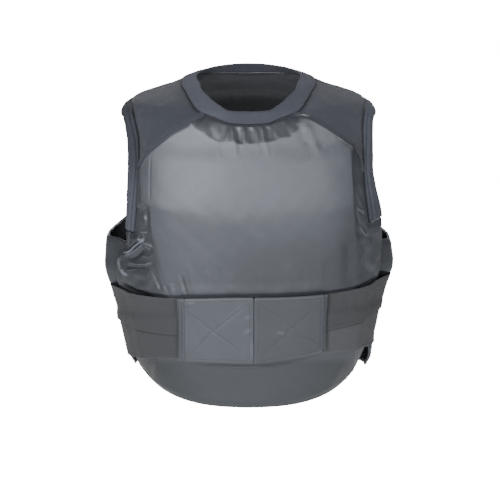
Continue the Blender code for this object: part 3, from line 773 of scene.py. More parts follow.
# Finishes: dye, roughness, weave and its pitch in metres, depth of the weave, how cloudy and speckled
# the dye is, the even sheen of loose fibres, and the strength and colour of the gloss
coolGlint, paleGlint, whiteGlint = (0.87, 0.925, 1.0), (0.95, 0.97, 1.0), (1.0, 1.0, 1.0)
finishes = {
    "nylonSatin": {
        "dye": (0.042, 0.046, 0.056), "rough": 0.42, "weave": "satin", "across": 0.0007, "along": 0.0007,
        "depth": 0.00005, "clouds": 0.05, "yarn": 0.18, "sheen": 0.0, "gloss": 1.0, "glint": coolGlint},
    "jersey": {
        "dye": (0.049, 0.053, 0.066), "rough": 0.92, "weave": "jersey", "across": 0.0013, "along": 0.0011,
        "depth": 0.0003, "clouds": 0.14, "yarn": 0.18, "sheen": 0.15, "gloss": 0.2, "glint": coolGlint},
    "rib": {
        "dye": (0.064, 0.069, 0.087), "rough": 0.9, "weave": "rib", "across": 0.0017, "along": 0.001,
        "depth": 0.00035, "clouds": 0.14, "yarn": 0.16, "sheen": 0.05, "gloss": 0.2, "glint": coolGlint},
    "elastic": {
        "dye": (0.049, 0.050, 0.055), "rough": 0.8, "weave": "elastic", "across": 0.0008, "along": 0.0013,
        "depth": 0.00025, "clouds": 0.12, "yarn": 0.14, "sheen": 0.1, "gloss": 0.3, "glint": paleGlint},
    "brushedNylon": {
        "dye": (0.052, 0.057, 0.068), "rough": 0.54, "weave": "brushed", "across": 0.0009, "along": 0.0009,
        "depth": 0.0001, "clouds": 0.18, "yarn": 0.18, "sheen": 0.1, "gloss": 0.75, "glint": coolGlint},
    "foldedNylon": {
        "dye": (0.050, 0.054, 0.064), "rough": 0.5, "weave": "satin", "across": 0.0007, "along": 0.0007,
        "depth": 0.00005, "clouds": 0.12, "yarn": 0.1, "sheen": 0.05, "gloss": 0.6, "glint": coolGlint},
    "thread": {
        "dye": (0.026, 0.028, 0.034), "rough": 0.6, "weave": "twist", "across": 0.001, "along": 0.001,
        "depth": 0.0001, "clouds": 0.1, "yarn": 0.3, "sheen": 0.0, "gloss": 0.5, "glint": whiteGlint},
}


# A stitch has no places and no tone of its own, so its thread is laid by where it is
def clothMaterial(name, look):
    material = bpy.data.materials.new(name)
    material.use_nodes = True
    tree = material.node_tree
    where = addNode(tree, "TexCoord", {}).outputs["Object"]
    place, tone = where, 1.0
    if name != "thread":
        cloth, shade = addNode(tree, "UVMap", {}), addNode(tree, "Attribute", {})
        cloth.uv_map, shade.attribute_name = "cloth", "tone"
        place, tone = cloth.outputs[0], shade.outputs["Fac"]
    colour = addGroup(tree, toneGroup, {
        "Dye": (*look["dye"], 1), "Tone": tone, "Place": where, "Clouds": look["clouds"],
        "Yarn": look["yarn"], "Rough": look["rough"]})
    weave = addGroup(tree, weaves[look["weave"]], {
        "Place": place, "Across": look["across"], "Along": look["along"]})
    relief = addNode(tree, "Bump", {
        "Height": weave.outputs["Height"], "Distance": look["depth"], "Strength": 1.0})
    wire(tree, tree.nodes["Principled BSDF"],
         {"Base Color": colour.outputs["Colour"], "Roughness": colour.outputs["Roughness"],
          "Normal": relief.outputs[0], "Sheen Weight": look["sheen"], "Sheen Roughness": 0.5,
          "Specular IOR Level": look["gloss"], "Specular Tint": (*look["glint"], 1)})
    return material


materials = {name: clothMaterial(name, look) for name, look in finishes.items()}
print("materials made:", ", ".join(materials))


# Every piece rides on the root, and some stand for one of the solids
def dress(piece, finish, node=None):
    piece.data.materials.append(materials[finish])
    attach(piece, "root")
    if node:
        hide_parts(node)


# A sheet's flat size, that of its grid before it has any thickness, is worked out here and not used further
def declareSheet(points):
    wide, long, area = clothSize(points)


# How far off the form each layer is, in millimetres. The back wings flare out and are filled out under
# the straps, and their lower corners flare further.
layers = {"insert": 9.0, "wing": 4.8, "edge": 3.2, "gap": 0.5, "wingFlare": 4.2, "sideFill": 2.3,
          "cornerFlare": {"left": 4.0, "right": 10.0}}


# How far the back wings lean out: the flare at the top, the filling and the corner's flare, faded
# towards the middle of the back
def backLift(turn, height):
    side = np.abs(turn)
    corner = np.where(turn > 0, layers["cornerFlare"]["right"], layers["cornerFlare"]["left"])
    filling = layers["sideFill"] * rise(side, 66, 80) * between(height, -345, -322, -284, -262)
    flare = layers["wingFlare"] * rise(height, -330, -262) + corner * rise(-height, 380, 425)
    return (1 - rise(side, 86, 112)) * (flare + filling)


# Height of the straps' inner face: the panels below it, what the back wings lean out, and a gap
def strapLift(turn, height):
    wing = between(np.abs(turn), 52, 62, 97, 108)
    panel = layers["insert"] + (layers["wing"] - layers["insert"]) * wing
    return panel + backLift(turn, height) + layers["gap"]


# The straps' top edge: turn, height
strapTop = (
    (-150, -335), (-110, -323), (-90, -313), (-70, -300), (-55, -296), (-35, -292), (-25, -289),
    (0, -284), (32, -284), (50, -284), (62, -283), (72, -285), (82, -290), (95, -299), (150, -320),
)
strapEdge = (-2, 3)  # from this far below it to this far above, the straps let go of the panels


# How far a panel's places are above that edge, and how free the cloth is: 0 under the straps, 1 above
# them and below them, from one depth to another
def besideStraps(turn, height, lowStart, lowEnd):
    above = height - smooth(turn, strapTop)
    over = rise(above, *strapEdge)
    return above, over + (1 - over) * rise(-above, lowStart, lowEnd)


# Front panel: padded nylon over the armour insert, with the thin gathered strip under the collar, the
# thin wings and the tail below the straps
frontPanel = {
    "rim": 1.5,            # half the thickness of the sewn edge
    "hemRamp": 12,         # millimetres over which the cloth thickens from the hem,
    "sideRamp": (10, 4),   # from the sides, and beside the left armhole,
    "seamRamp": 5,         # and from the yokes' seams
    "besideLeft": 0.85,    # share of the thickness kept right up to the left armhole,
    "besideRows": (146, 156, 200, 207),  # and where in the picture
    "besideColumns": (152, 165),
    "sharpness": 1.8,      # pixels over which the insert's edge shows as a step
    "pixel": 1.5,          # millimetres to a pixel on the chest
    "arcStep": 0.1,        # step at the insert's upper edge
    "sideStep": 1.0,       # and at its sides, beside which the cloth slopes down
    "shoulder": 14.0,      # over about this far
    "stripEnd": (140, 165),  # rows of the picture over which the strip under the collar ends
    "tailDrop": 2.5,       # how much thinner the tail is at the hem,
    "tailFrom": (100, 160),  # so far below the straps' top edge
    "lip": 0.9,            # how far the cloth bulges just above the straps
    "seamRoll": 0.5,       # and beside the right yoke's seam
    "ripple": 0.16,        # soft waviness all over
    "least": 1.2,          # least thickness anywhere
    "gatherDepth": 0.8,    # share of the gathers' height that is kept
    "hemInset": 7.0,       # how far in from the edge the hem is sewn
    "hemFurrow": 0.3,      # how deep its stitches pull the cloth in
    "hemBelow": -214,      # below this height the free sides are sewn too
    "stripDark": 0.38,     # painted shade, how much darker it is: on the thin cloth under the collar,
    "wingDark": 0.15,      # on the left wing
    "besideDark": 0.2,     # between the insert and the right armhole
    "tailDark": 0.66,      # below the straps
    "leftWingDark": 0.38,  # on the wrinkled left wing
    "lowDark": 0.22,       # above the right half of the straps
    "rightDark": 0.33,     # where the cloth slopes down to the right wing
    "seamDark": 0.7,       # and in the furrow along a seam
    "rightPale": 0.3,      # painted light, how much paler it is: above that slope, beside the armhole,
    "midPale": 0.55,       # and in the middle of the chest
}
# The soft fold across the chest: a bow in the picture that hangs from both sides to its lowest in the
# middle, rounder there, and falls off on both sides
chestFold = {
    "out": 3.0,            # how far it stands out, in millimetres
    "down": 203,           # pixels down the picture at the sides
    "sag": 15,             # how much lower in the middle
    "middle": 250,         # where the middle is, across
    "reach": 105,          # and how far the sides are from it
    "round": (2, 18),      # how round its crest is at the sides, and how much more in the middle
    "roundAt": (262, 60),  # where that is, and over how far
    "fall": 34,            # pixels over which it falls off
    "flat": 0.15,          # how much flatter it is in the middle
    "flatAt": (250, 40),
}
# Where each shade shows in the picture: down it from start and full to fading and gone, then across it
everywhere = (-1, 0, 900, 901)
shadeWindows = {
    "stripDark": ((-1, 0, 150, 170), everywhere),
    "wingDark": ((195, 215, 900, 901), (-1, 0, 340, 352)),
    "besideDark": ((-1, 0, 183, 192), (340, 350, 900, 901)),
    "tailDark": ((355, 365, 900, 901), everywhere),
    "leftWingDark": ((228, 238, 296, 300), (-1, 0, 141, 153)),
    "lowDark": ((225, 265, 294, 300), (195, 255, 335, 350)),
    "rightDark": ((222, 250, 284, 298), everywhere),
    "rightPale": ((140, 152, 192, 212), (325, 350, 900, 901)),
    "midPale": ((148, 165, 200, 215), everywhere),
}
insertOutline = (
    (192.0, 124.5), (197.9, 131.3), (211.3, 138.4), (224.6, 142.4), (242.5, 143.8), (260.4, 142.9),
    (278.2, 139.7), (290.7, 136.2), (300, 128), (304, 116), (317.5, 122.5), (330.5, 130), (343.5, 139),
    (352.6, 147), (352.8, 168), (353.8, 187), (354.3, 205), (356, 222), (358.5, 240), (360, 262), (362, 300),
    (362, 340), (360, 420), (140, 420), (163, 300), (157, 268), (153.5, 250), (149.8, 232), (149.0, 207),
    (141, 203), (139, 168), (143, 157), (149, 150), (161, 139.5), (174, 128), (186, 121.5),
)
# Gathers under the collar, and where they run on below the insert's edge: path, half width, height
gathers = (
    (((228.2, 129.5), (225.6, 141.5)), 1.1, 0.35),
    (((232.6, 127), (234.0, 143.5)), 1.2, 0.75),
    (((237.6, 127), (239.0, 143.8)), 1.8, -0.8),
    (((245.0, 127), (244.6, 143.8)), 1.3, 0.85),
    (((251.0, 127), (251.2, 143.8)), 2.0, -0.55),
    (((256.5, 127), (257.4, 143.4)), 1.4, 0.3),
    (((262.6, 126.5), (264.4, 143.0)), 1.3, 0.75),
    (((268.0, 126), (269.0, 142)), 1.7, -0.6),
    (((276.2, 123), (276.6, 139)), 1.4, 0.35),
    (((282, 121), (281.0, 137)), 1.4, -0.35),
    (((219.3, 131), (217.5, 140)), 1.6, 0.25),
    (((212.0, 128), (211.0, 137)), 1.8, -0.25),
    (((206, 124), (205.0, 133)), 2.0, 0.2),
    (((219.3, 143), (219.3, 160)), 1.6, 0.35),
    (((235.2, 143), (236.4, 158)), 1.4, 0.40),
    (((239.8, 143), (240.6, 156)), 1.6, -0.35),
    (((266.4, 142), (268.6, 160)), 1.8, 0.35),
    (((262.0, 142), (262.4, 154)), 1.8, -0.3),
)
# The furrow under the patches, which is in shadow
patchFurrow = ((182, 362.0), (214.5, 364.2), (234.3, 365.2), (256.1, 365.4), (273.9, 364.0), (293.6, 360.2),
               (313.4, 356.4), (329, 353.6))
# Folds over the chest, above the straps and on the wings, in the same columns
panelFolds = (
    (((151.2, 152), (150.6, 166), (150.4, 184), (151.0, 206)), 0.9, -0.2),  # the insert's left edge
    (((305, 121), (312, 137), (320, 157)), 4.0, 0.9),       # slanting fold below the right shoulder
    (((297, 121), (301, 132), (307, 146)), 4.0, -0.6),
    (((140.7, 203), (141.8, 212), (144.0, 219), (141.0, 226)), 1.6, 0.3),   # nylon beside the left armhole
    (((145.5, 203), (146.8, 214), (146.2, 228)), 1.6, -0.4),
    (((140.0, 214), (145.6, 221)), 1.3, 0.6),
    (((138.0, 233.3), (142, 232.5), (146.5, 232.6)), 0.8, 1.0),            # left wing
    (((139.5, 234.5), (142.8, 236.8)), 0.8, 0.8),
    (((136.0, 236.6), (141.5, 237.2), (147, 239.4)), 1.0, -0.9),
    (((135.6, 239.0), (142.2, 240.8)), 1.0, 1.8),
    (((142.5, 240.6), (137.2, 243.6), (132.6, 247.0), (130.0, 250.2), (126.2, 252.4), (119.5, 252.6)),
     0.9, 3.0),
    (((141.5, 243.3), (138.6, 247.0), (134.7, 250.2), (130.2, 253.0), (125.2, 255.2), (121.0, 255.6)),
     0.9, 2.6),
    (((139.6, 243.6), (135.6, 247.2), (131.6, 250.8), (127.0, 254.0)), 0.6, -1.4),
    (((134.2, 241.2), (130.4, 245.6), (126.4, 248.4)), 1.0, -1.2),
    (((140.5, 242.4), (145.8, 244.2), (152.5, 247.4)), 0.8, 1.8),
    (((143.0, 246.4), (148.0, 248.6), (152.5, 251.0)), 1.0, -1.0),
    (((142.0, 248.0), (139.0, 253.5), (133.5, 258.0), (126.0, 260.4)), 2.0, -1.4),
    (((125.5, 261.8), (130.0, 263.8), (136.0, 265.0), (143.0, 264.9), (152.0, 262.6)), 0.8, 2.0),
    (((124.0, 266.6), (133.0, 268.0), (146.0, 267.4)), 1.2, -1.3),
    (((123.0, 270.6), (129.0, 270.0), (136.5, 269.0)), 0.8, 1.0),
    (((139.0, 255.5), (147.0, 257.0), (153.0, 255.0)), 1.3, 0.6),
    (((121.0, 253.0), (117.2, 256.4), (116.2, 262.0), (117.6, 268.4), (121.2, 273.6), (126.5, 276.6)),
     1.1, 2.6),
    (((118.0, 280.0), (121.5, 284.6), (126.0, 288.2), (135.0, 292.0), (150.0, 296.6), (158.0, 298.4)),
     1.3, -2.2),
    (((146, 268), (152.5, 280), (159.5, 293)), 1.8, 0.4),    # slanting folds above the left strap
    (((150.5, 268), (157.0, 281), (163.0, 293)), 1.9, -0.9),
    (((156.5, 272), (161.5, 284), (166.0, 294)), 1.5, 0.6),
    (((165.5, 284), (169.0, 295)), 1.4, -0.5),
    (((170.5, 283), (172.5, 295)), 1.5, 0.5),
    (((174.5, 285), (176.5, 296)), 1.3, -0.5),
    (((181.0, 273), (183.6, 283), (187.5, 297)), 1.1, -1.0),
    (((178.2, 274), (181.0, 285), (184.4, 297)), 1.5, 0.6),
    (((188.0, 262), (191.0, 280), (194.0, 297)), 3.0, 0.5),
    (((208, 268), (210.5, 297)), 3.0, 0.4),
    (((219, 266), (220.5, 297)), 3.0, -0.35),
    (((231, 270), (233, 297)), 3.2, 0.35),
    (((245, 268), (246, 297)), 3.2, -0.3),
    (((262, 270), (264, 297)), 3.4, 0.35),
    (((276, 266), (277, 297)), 3.2, -0.35),
    (((288, 262), (290, 295)), 3.4, 0.4),
    (((303, 258), (304.5, 294)), 3.4, -0.4),
    (((320, 250), (321, 292)), 4.0, 0.4),
    (((348, 236), (347.5, 262), (345.5, 288)), 4.5, -0.9),                 # right wing
    (((356.5, 228), (358.0, 246), (357.5, 268), (355.0, 286)), 3.0, 0.8),
    (((365.0, 238), (366.5, 255), (365.0, 275)), 2.6, -0.7),
    (((371.5, 236), (373.0, 252), (371.5, 272)), 2.2, 0.7),
    (((360.8, 225.0), (368.3, 236.6)), 1.2, 0.8),
    (((371.6, 226.5), (368.3, 236.6)), 1.2, 0.8),
    (((357.6, 207.6), (366.2, 211.6)), 1.1, 0.7),
    (((359.0, 211.4), (366.0, 215.2)), 1.2, -0.6),
    (((356.5, 190), (361.0, 200), (364.6, 209)), 1.4, 0.6),
    (((355.8, 200), (357.2, 214), (361.0, 228)), 1.5, -0.6),
    (patchFurrow, 1.2, -1.6),
    (((356.0, 366), (352.0, 376), (346.0, 385)), 2.2, 0.5),                # tail
    (((344.0, 362), (338.0, 376), (330.0, 388)), 3.0, 0.6),
    (((335.0, 362), (330.5, 374), (324.0, 388)), 2.6, -0.45),
    (((205, 378), (222, 374), (240, 377)), 3.0, 0.35),
    (((160, 370), (186, 380), (214, 388)), 5.0, 0.4),
)

# Painted highlights and painted shade along creases, where they are paler or darker than the cloth
# round them: path, half width, change
paintedCreaseLight = (
    (((135.2, 238.8), (138.5, 240.4), (143.2, 240.8)), 1.5, 6.0),
    (((142.0, 240.8), (137.0, 243.9), (132.4, 247.2), (129.8, 250.4), (126.0, 252.6), (119.0, 252.8)),
     0.8, 6.5),
    (((141.0, 243.6), (138.6, 247.0), (134.7, 250.2), (130.2, 253.0), (125.2, 255.2), (121.0, 255.6)),
     0.7, 4.0),
    (((140.5, 242.4), (145.8, 244.2), (152.5, 247.4)), 0.7, 2.6),
    (((138.0, 233.3), (142, 232.5), (146.5, 232.6)), 0.8, 1.8),
    (((126.7, 230.5), (126.5, 240), (126.2, 249.5)), 0.6, 2.5),
    (((125.5, 261.8), (130.0, 263.8), (136.0, 265.0), (143.0, 264.9), (152.0, 262.6)), 0.7, 2.2),
    (((117.0, 256.0), (116.0, 262.0), (117.4, 268.4), (121.0, 273.8), (126.5, 276.6)), 1.0, 3.4),
    (((118.6, 269.5), (121.6, 274.0), (126.0, 276.0)), 1.7, 3.6),
    (((118.8, 280.6), (121.5, 284.8), (126.0, 288.4), (135.0, 292.2), (150.0, 296.8), (158, 298.6)),
     1.4, -1.0),
    (((182.2, 275.0), (184.6, 284.0), (188.0, 297.5)), 0.9, -0.5),
    (((150.5, 250), (151.5, 262), (154.0, 276)), 3.0, -0.25),
    (patchFurrow, 1.5, -0.65),
)

# At the front seams the insert's edge lifts the panel, the yoke and the tape alike, less towards the
# collar and the armhole
overInsert = {"panel": 0.8, "lift": 5.2, "fade": 26.0, "ends": 14.0}


# 1 along the front seam's middle, down to 0 at the collar and the armhole
def seamLift(points, side):
    toCollar = distanceTo(points, *edgesOf(side, "collarFront", "collarSide"))
    toArm = distanceTo(points, *edgesOf(side, "frontUnder", "frontOver"))
    return rise(toCollar, 0, overInsert["ends"]) * rise(toArm, 0, overInsert["ends"])


# How a panel's cloth settles: a sheet a little larger than its place, sewn down all round and under the
# straps, and held to the filling everywhere else by weak springs
padding = {
    "every": 4,        # rows and columns of the panel for one of the sheet
    "growth": 0.02,    # how much larger the sheet is
    "hold": 0.55,      # how firmly the springs hold it, where 1 is sewn down
    "tension": 12.0,
    "bending": 0.4,
    "mass": 0.15,
    "damping": 2.0,
    "quality": 6,
    "seed": 0.4,       # height of the fixed waves that start it, in millimetres
    "frames": 16,
    "cap": 1.6,        # how far it may move, in millimetres
    "onInsert": 0.12,  # share of that over the inserts
    "onWing": 0.35,    # and on the back wings
}


# Weights of cubic B-splines through count values, read at these places
def splineWeights(at, count):
    low = np.minimum(np.floor(at).astype(int), count - 2)
    t = at - low
    parts = ((1 - t) ** 3, 3 * t**3 - 6 * t**2 + 4, -3 * t**3 + 3 * t**2 + 3 * t + 1, t**3)
    weights = np.zeros((len(at), count))
    for shift, part in zip((-1, 0, 1, 2), parts):
        np.add.at(weights, (np.arange(len(at)), np.clip(low + shift, 0, count - 1)), part / 6)
    return weights


# How far the simulated sheet moves along the normals on every few rows and columns, less its mean, kept
# below the cap by a hyperbolic tangent, and spread to all rows and columns
def settledCloth(name, outer, normals, held, rowsAt, columnsAt):
    every, hold = padding["every"], padding["hold"]
    pick = np.ix_(*(np.searchsorted(at, np.arange(0, at[-1] + 0.5, every) - 1e-6)
                    for at in (rowsAt, columnsAt)))
    start, up, pinned = outer[pick], normals[pick], held[pick]
    start = raised(start, up, padding["seed"] * waviness(start[..., 0], start[..., 2], 34, 51) * (1 - pinned))
    sheet = addMesh(name, start.reshape(-1, 3) * mm, [gridFaces(*pinned.shape)])
    group = sheet.vertex_groups.new(name="held")
    for number, share in enumerate(pinned.ravel()):
        group.add([number], float(hold + (1 - hold) * share), "REPLACE")
    cloth = sheet.modifiers.new("cloth", "CLOTH")
    plan = cloth.settings
    plan.quality, plan.mass, plan.air_damping = padding["quality"], padding["mass"], padding["damping"]
    plan.tension_stiffness = plan.compression_stiffness = padding["tension"]
    plan.shear_stiffness, plan.bending_stiffness = padding["tension"] / 2, padding["bending"]
    plan.shrink_min = -padding["growth"]
    plan.vertex_group_mass, plan.effector_weights.gravity = "held", 0.0
    cloth.point_cache.frame_start, cloth.point_cache.frame_end = 1, padding["frames"]
    for moment in range(1, padding["frames"] + 1):
        bpy.context.scene.frame_set(moment)
    after = sheet.evaluated_get(bpy.context.evaluated_depsgraph_get()).to_mesh()
    places = np.empty(len(after.vertices) * 3)
    after.vertices.foreach_get("co", places)
    moved = ((places.reshape(start.shape) / mm - outer[pick]) * up).sum(-1)
    bpy.context.scene.frame_set(1)
    mesh = sheet.data
    bpy.data.objects.remove(sheet)
    bpy.data.meshes.remove(mesh)
    print(name, "moved by", moved.min().round(2), "to", moved.max().round(2), "mm, mean",
          moved.mean().round(2), "spread", moved.std().round(2))
    moved = np.round(padding["cap"] * np.tanh((moved - moved.mean()) / padding["cap"]), 2)
    down, across = (splineWeights(at / every, count) for at, count in zip((rowsAt, columnsAt), moved.shape))
    return down @ moved @ across.T


# A panel's shell, and its stitches along the hem and down the free sides
def addPanel(part, base, normals, height, places, tone, innerShade):
    outer, name = raised(base, normals, height), f"{part}_panel"
    piece = clothShell("padded_" + name, outer, base, places, tone, innerShade, coarser=True)
    dress(piece, "nylonSatin", name)
    borders = (("bottom", np.inf), ("first", frontPanel["hemBelow"]), ("last", frontPanel["hemBelow"]))
    rows = [insetLine(outer, normals, border, frontPanel["hemInset"], highest) for border, highest in borders]
    addStitches("stitches_" + name, rows)


# Height above the form = edge thickness, plus wing thickness inside the rims, plus the insert inside its
# outline, plus folds, gathers, the chest fold and the lip above the straps
def makeFrontPanel():
    plan = frontPanel
    top, hem, left, right = panelEdges("front")
    pattern = filled(top, hem, left, right)
    above = pattern[..., 1] - smooth(pattern[..., 0], strapTop)
    rowParts = np.where(above[1:].max(axis=1) < -4, 1, 2)
    rowParts[:8] = 2
    rowParts[-1] += rowParts.sum() % 2
    rowsAt, columnsAt = cut(rowParts), cut(atEnds(pattern.shape[1] - 1, 24, 2))
    pattern = readGrid(pattern, rowsAt[:, None], columnsAt[None])
    points, normals = laid(pattern, plan["rim"])
    across, down = pictureOf(raised(points, normals, layers["insert"]))
    toHem, toSide = distanceTo(points, hem), distanceTo(points, left, right)
    # Beside the left armhole the panel keeps most of its thickness right up to the band
    kept = 1 - rise(across, *plan["besideColumns"])
    kept = plan["besideLeft"] * kept * between(down, *plan["besideRows"])
    sideRamp = np.where(kept > 0, plan["sideRamp"][1], plan["sideRamp"][0])
    full = np.minimum(rise(toHem, 0, plan["hemRamp"]), kept + (1 - kept) * rise(toSide, 0, sideRamp))
    for side in sides:
        held = overInsert["panel"] * seamLift(points, side)
        toSeam = distanceTo(points, *edgesOf(side, "frontSeam"))
        full = np.minimum(full, held + (1 - held) * rise(toSeam, 0, plan["seamRamp"]))
    inStrip = 1 - rise(down, *plan["stripEnd"])
    # The insert's edge is softer in the right half of the strip and lower down
    softer = 3.5 * rise(across, 288, 305) * inStrip + 2.5 * rise(down, 215, 255) + 3.0 * rise(down, 250, 290)
    softness = plan["sharpness"] * (1 + softer)
    inside = insideOutline(across, down, insertOutline)
    insert = rise(inside, -0.3 * softness, 0.7 * softness)
    outside = np.maximum(-inside, 0) * plan["pixel"]
    toNeck = distanceTo(points, *edgesOf("left", "collarFront"), *edgesOf("right", "collarFront"))
    turn = pattern[..., 0]
    above, free = besideStraps(turn, pattern[..., 1], 96, 104)
    strip = inStrip * (1 - insert) * toNeck / (toNeck + outside + 0.1)
    beside = (1 - inStrip) * (1 - insert) * np.exp(-outside / plan["shoulder"]) * rise(above, *strapEdge)
    height = layers["edge"] + (layers["wing"] - layers["edge"]) * full * (1 - strip)
    height += (layers["insert"] - layers["wing"]) * insert * full
    height += (layers["insert"] - layers["edge"] - plan["arcStep"]) * strip
    height += (layers["insert"] - layers["wing"] - plan["sideStep"]) * beside * full
    sag = chestFold["sag"] * (1 - ((across - chestFold["middle"]) / chestFold["reach"]) ** 2)
    below = down - chestFold["down"] - sag
    crest = chestFold["round"][0] + chestFold["round"][1] * bell(across, *chestFold["roundAt"])
    kink = np.exp((crest - np.hypot(below, crest)) / chestFold["fall"])
    flatter = 1 - chestFold["flat"] * bell(across, *chestFold["flatAt"])
    height += chestFold["out"] * (insert + strip) * full * kink * flatter
    height += plan["lip"] * between(above, 0, 4, 4, 22) * full * (1 - 0.5 * rise(np.abs(turn), 35, 60))
    height -= plan["tailDrop"] * rise(-above, *plan["tailFrom"]) * full
    relief = plan["gatherDepth"] * foldRelief(across, down, gathers) + foldRelief(across, down, panelFolds)
    toFree = np.where(pattern[..., 1] < plan["hemBelow"], np.minimum(toHem, toSide), toHem)
    relief -= plan["hemFurrow"] * bell(toFree, plan["hemInset"], 1.1)
    relief += plan["seamRoll"] * bell(distanceTo(points, seam["right"]["frontSeam"]), 2.6, 1.0)
    places = panelPlaces(pattern)
    relief += plan["ripple"] * waviness(places[..., 0], places[..., 1], 55, 3)
    height += relief * free * rise(full, 0, 0.4)
    held = 1 - free * rise(full, 0, 0.5)
    share = (1 - held) * (1 - (1 - padding["onInsert"]) * insert)
    outer = raised(points, normals, height)
    height += share * settledCloth("settling front", outer, normals, held, rowsAt, columnsAt)
    height = np.maximum(height, plan["least"])
    # Tone, painted light and shade: painted shade on the cloth off the insert, below the straps, on the
    # wings, above the right half of the straps and in the furrows along the seams, and painted highlights
    # along creases, beside the right armhole and in the middle of the chest
    shade = {name: plan[name] * between(down, *rows) * between(across, *columns)
             for name, (rows, columns) in shadeWindows.items()}
    offInsertShade = shade["stripDark"] * rise(full, 0, 0.5) + shade["wingDark"] + shade["besideDark"]
    tail = 0.74 + 0.26 * rise(np.abs(turn), 20, 45) + 0.16 * rise(-turn, 15, 40)
    tone = 1 - (1 - insert) * offInsertShade - shade["tailDark"] * tail
    tone *= 1 - shade["leftWingDark"] * (1 - 0.35 * rise(down, 270, 282))
    tone *= np.maximum(1 + foldRelief(across, down, paintedCreaseLight), 0.12)
    tone *= 1 - shade["lowDark"]
    tone *= 1 - shade["rightDark"] * bell(across, 349, 9) + shade["rightPale"] * insert
    tone *= 1 + shade["midPale"] * bell(across, 255, 38)
    tone *= 1 - plan["seamDark"] * bell(toNeck, 0, 1.3)
    for side in sides:
        tone *= 1 - plan["seamDark"] * bell(distanceTo(points, *edgesOf(side, "frontUnder")), 0, 2.0)
    addPanel("front", points, normals, height, places, tone, 0.6)


# Back panel: the same padded nylon, plain, with flared wings and lower corners
backPanel = {
    "rim": 1.5,               # half the thickness of the sewn edge
    "ripple": 0.2,            # soft waviness all over
    "underFront": 1.2,        # how far inside the front wings the back ones end
    "out": (70.5, 81),        # turns between which they come out from under them
    "cornerOut": (386, 408),  # depths below which their lower corners are out
    "bulge": 2.4,             # how far the wings bulge above the straps that hug them
    "wingDark": 0.22,         # painted shade: how much darker the wings are,
    "underDark": 0.45,        # and where they go under the front ones
}


# Height above the form as in front, then moved out by the lean of the wings, or inside the front wings
def makeBackPanel():
    plan = backPanel
    top, hem, left, right = panelEdges("back")
    pattern = filled(top, hem, left, right)
    rowsAt, columnsAt = np.arange(float(len(pattern))), cut(atEnds(pattern.shape[1] - 1, 16, 3))
    pattern = readGrid(pattern, rowsAt[:, None], columnsAt[None])
    points, normals = laid(pattern, plan["rim"])
    turn = np.where(pattern[..., 0] > 180, pattern[..., 0] - 360, pattern[..., 0])
    side, low = np.abs(turn), -pattern[..., 1]
    toTop = distanceTo(points, top)
    full = np.minimum(rise(distanceTo(points, hem), 0, 12), rise(distanceTo(points, left, right), 0, 10))
    full = np.minimum(full, rise(toTop, 1, 9))
    insert = rise(side, 104, 109) * rise(toTop, 12, 16)
    height = layers["edge"] + (layers["wing"] - layers["edge"]) * full
    height += (layers["insert"] - layers["wing"]) * insert * full
    places = panelPlaces(pattern)
    above, free = besideStraps(turn, pattern[..., 1], 106, 112)
    height += frontPanel["lip"] * between(above, 0, 4, 4, 24) * insert * full
    height += plan["bulge"] * between(side, 66, 76, 96, 106) * between(above, -1, 3, 12, 46) * full
    height += plan["ripple"] * waviness(places[..., 0], places[..., 1], 60, 8) * free * rise(full, 0, 0.5)
    held = 1 - free * rise(full, 0, 0.5)
    share = (1 - held) * (padding["onWing"] + (padding["onInsert"] - padding["onWing"]) * insert)
    outer = raised(points, normals, height)
    height += share * settledCloth("settling back", outer, normals, held, rowsAt, columnsAt)
    out = np.maximum(rise(side, *plan["out"]), rise(low, *plan["cornerOut"]))
    lift = backLift(turn, pattern[..., 1]) * out - (height + plan["underFront"]) * (1 - out)
    # Painted shade: the wings darker, and darker still where they go under the front ones
    tone = 1 - plan["wingDark"] * (1 - insert)
    tone *= 1 - plan["underDark"] * (1 - rise(side, 69, 82)) * (1 - rise(low, 380, 400))
    addPanel("back", raised(points, normals, lift), normals, height, places, tone, 0.42)


# Knit shoulders: one even layer, lifted along the front seam by the insert's edge
# Painted shade along the armhole and collar seams; the two yokes are painted in different tones for how the
# light falls on each
yoke = {"thick": 2.2, "ripple": 0.25, "collarDark": 0.6, "seamDark": {"left": 0.35, "right": 0.7},
        "tone": {"left": 1.0, "right": 1.07}}
rimLess = 0.1  # how much less than half its thickness a knit border is drawn in, in millimetres


# Height above the form = what the insert lifts it along the front seam, plus the knit's thickness, plus
# some waviness away from both seams
def makeYoke(side):
    s = seam[side]
    outerEdge = joined(s["frontOver"][::-1], s["backOver"])
    pattern = filled(s["frontSeam"], s["backSeam"], s["collarSide"], outerEdge, (8, 8))
    if side == "left":
        pattern = pattern[:, ::-1] * (-1, 1)
    points, normals = laid(pattern, yoke["thick"] / 2 - rimLess)
    places = clothPlaces(points)
    toFront, toBack, toCollar = (distanceTo(points, *edgesOf(side, name))
                                 for name in ("frontSeam", "backSeam", "collarSide"))
    toArm = distanceTo(points, *edgesOf(side, "frontOver", "backOver"))
    lift = overInsert["lift"] * seamLift(points, side) * (1 - rise(toFront, 0, overInsert["fade"]))
    base = raised(points, normals, lift)
    ripple = waviness(places[..., 0], places[..., 1], 34, 5) * rise(np.minimum(toFront, toBack), 3, 12)
    outer = raised(base, normals, yoke["thick"] + yoke["ripple"] * ripple)
    # Painted shade along the armhole and collar seams, and each side's tone for how the light falls on it
    tone = yoke["tone"][side] * (1 - yoke["seamDark"][side] * bell(toArm, 0, 2.2))
    tone *= 1 - yoke["collarDark"] * bell(toCollar, 0, 2.2)
    piece = clothShell(f"knit_yoke_{side}", outer, base, places, tone, 0.8)
    dress(piece, "jersey", f"shoulder_yoke_{side}")
    declareSheet(points)


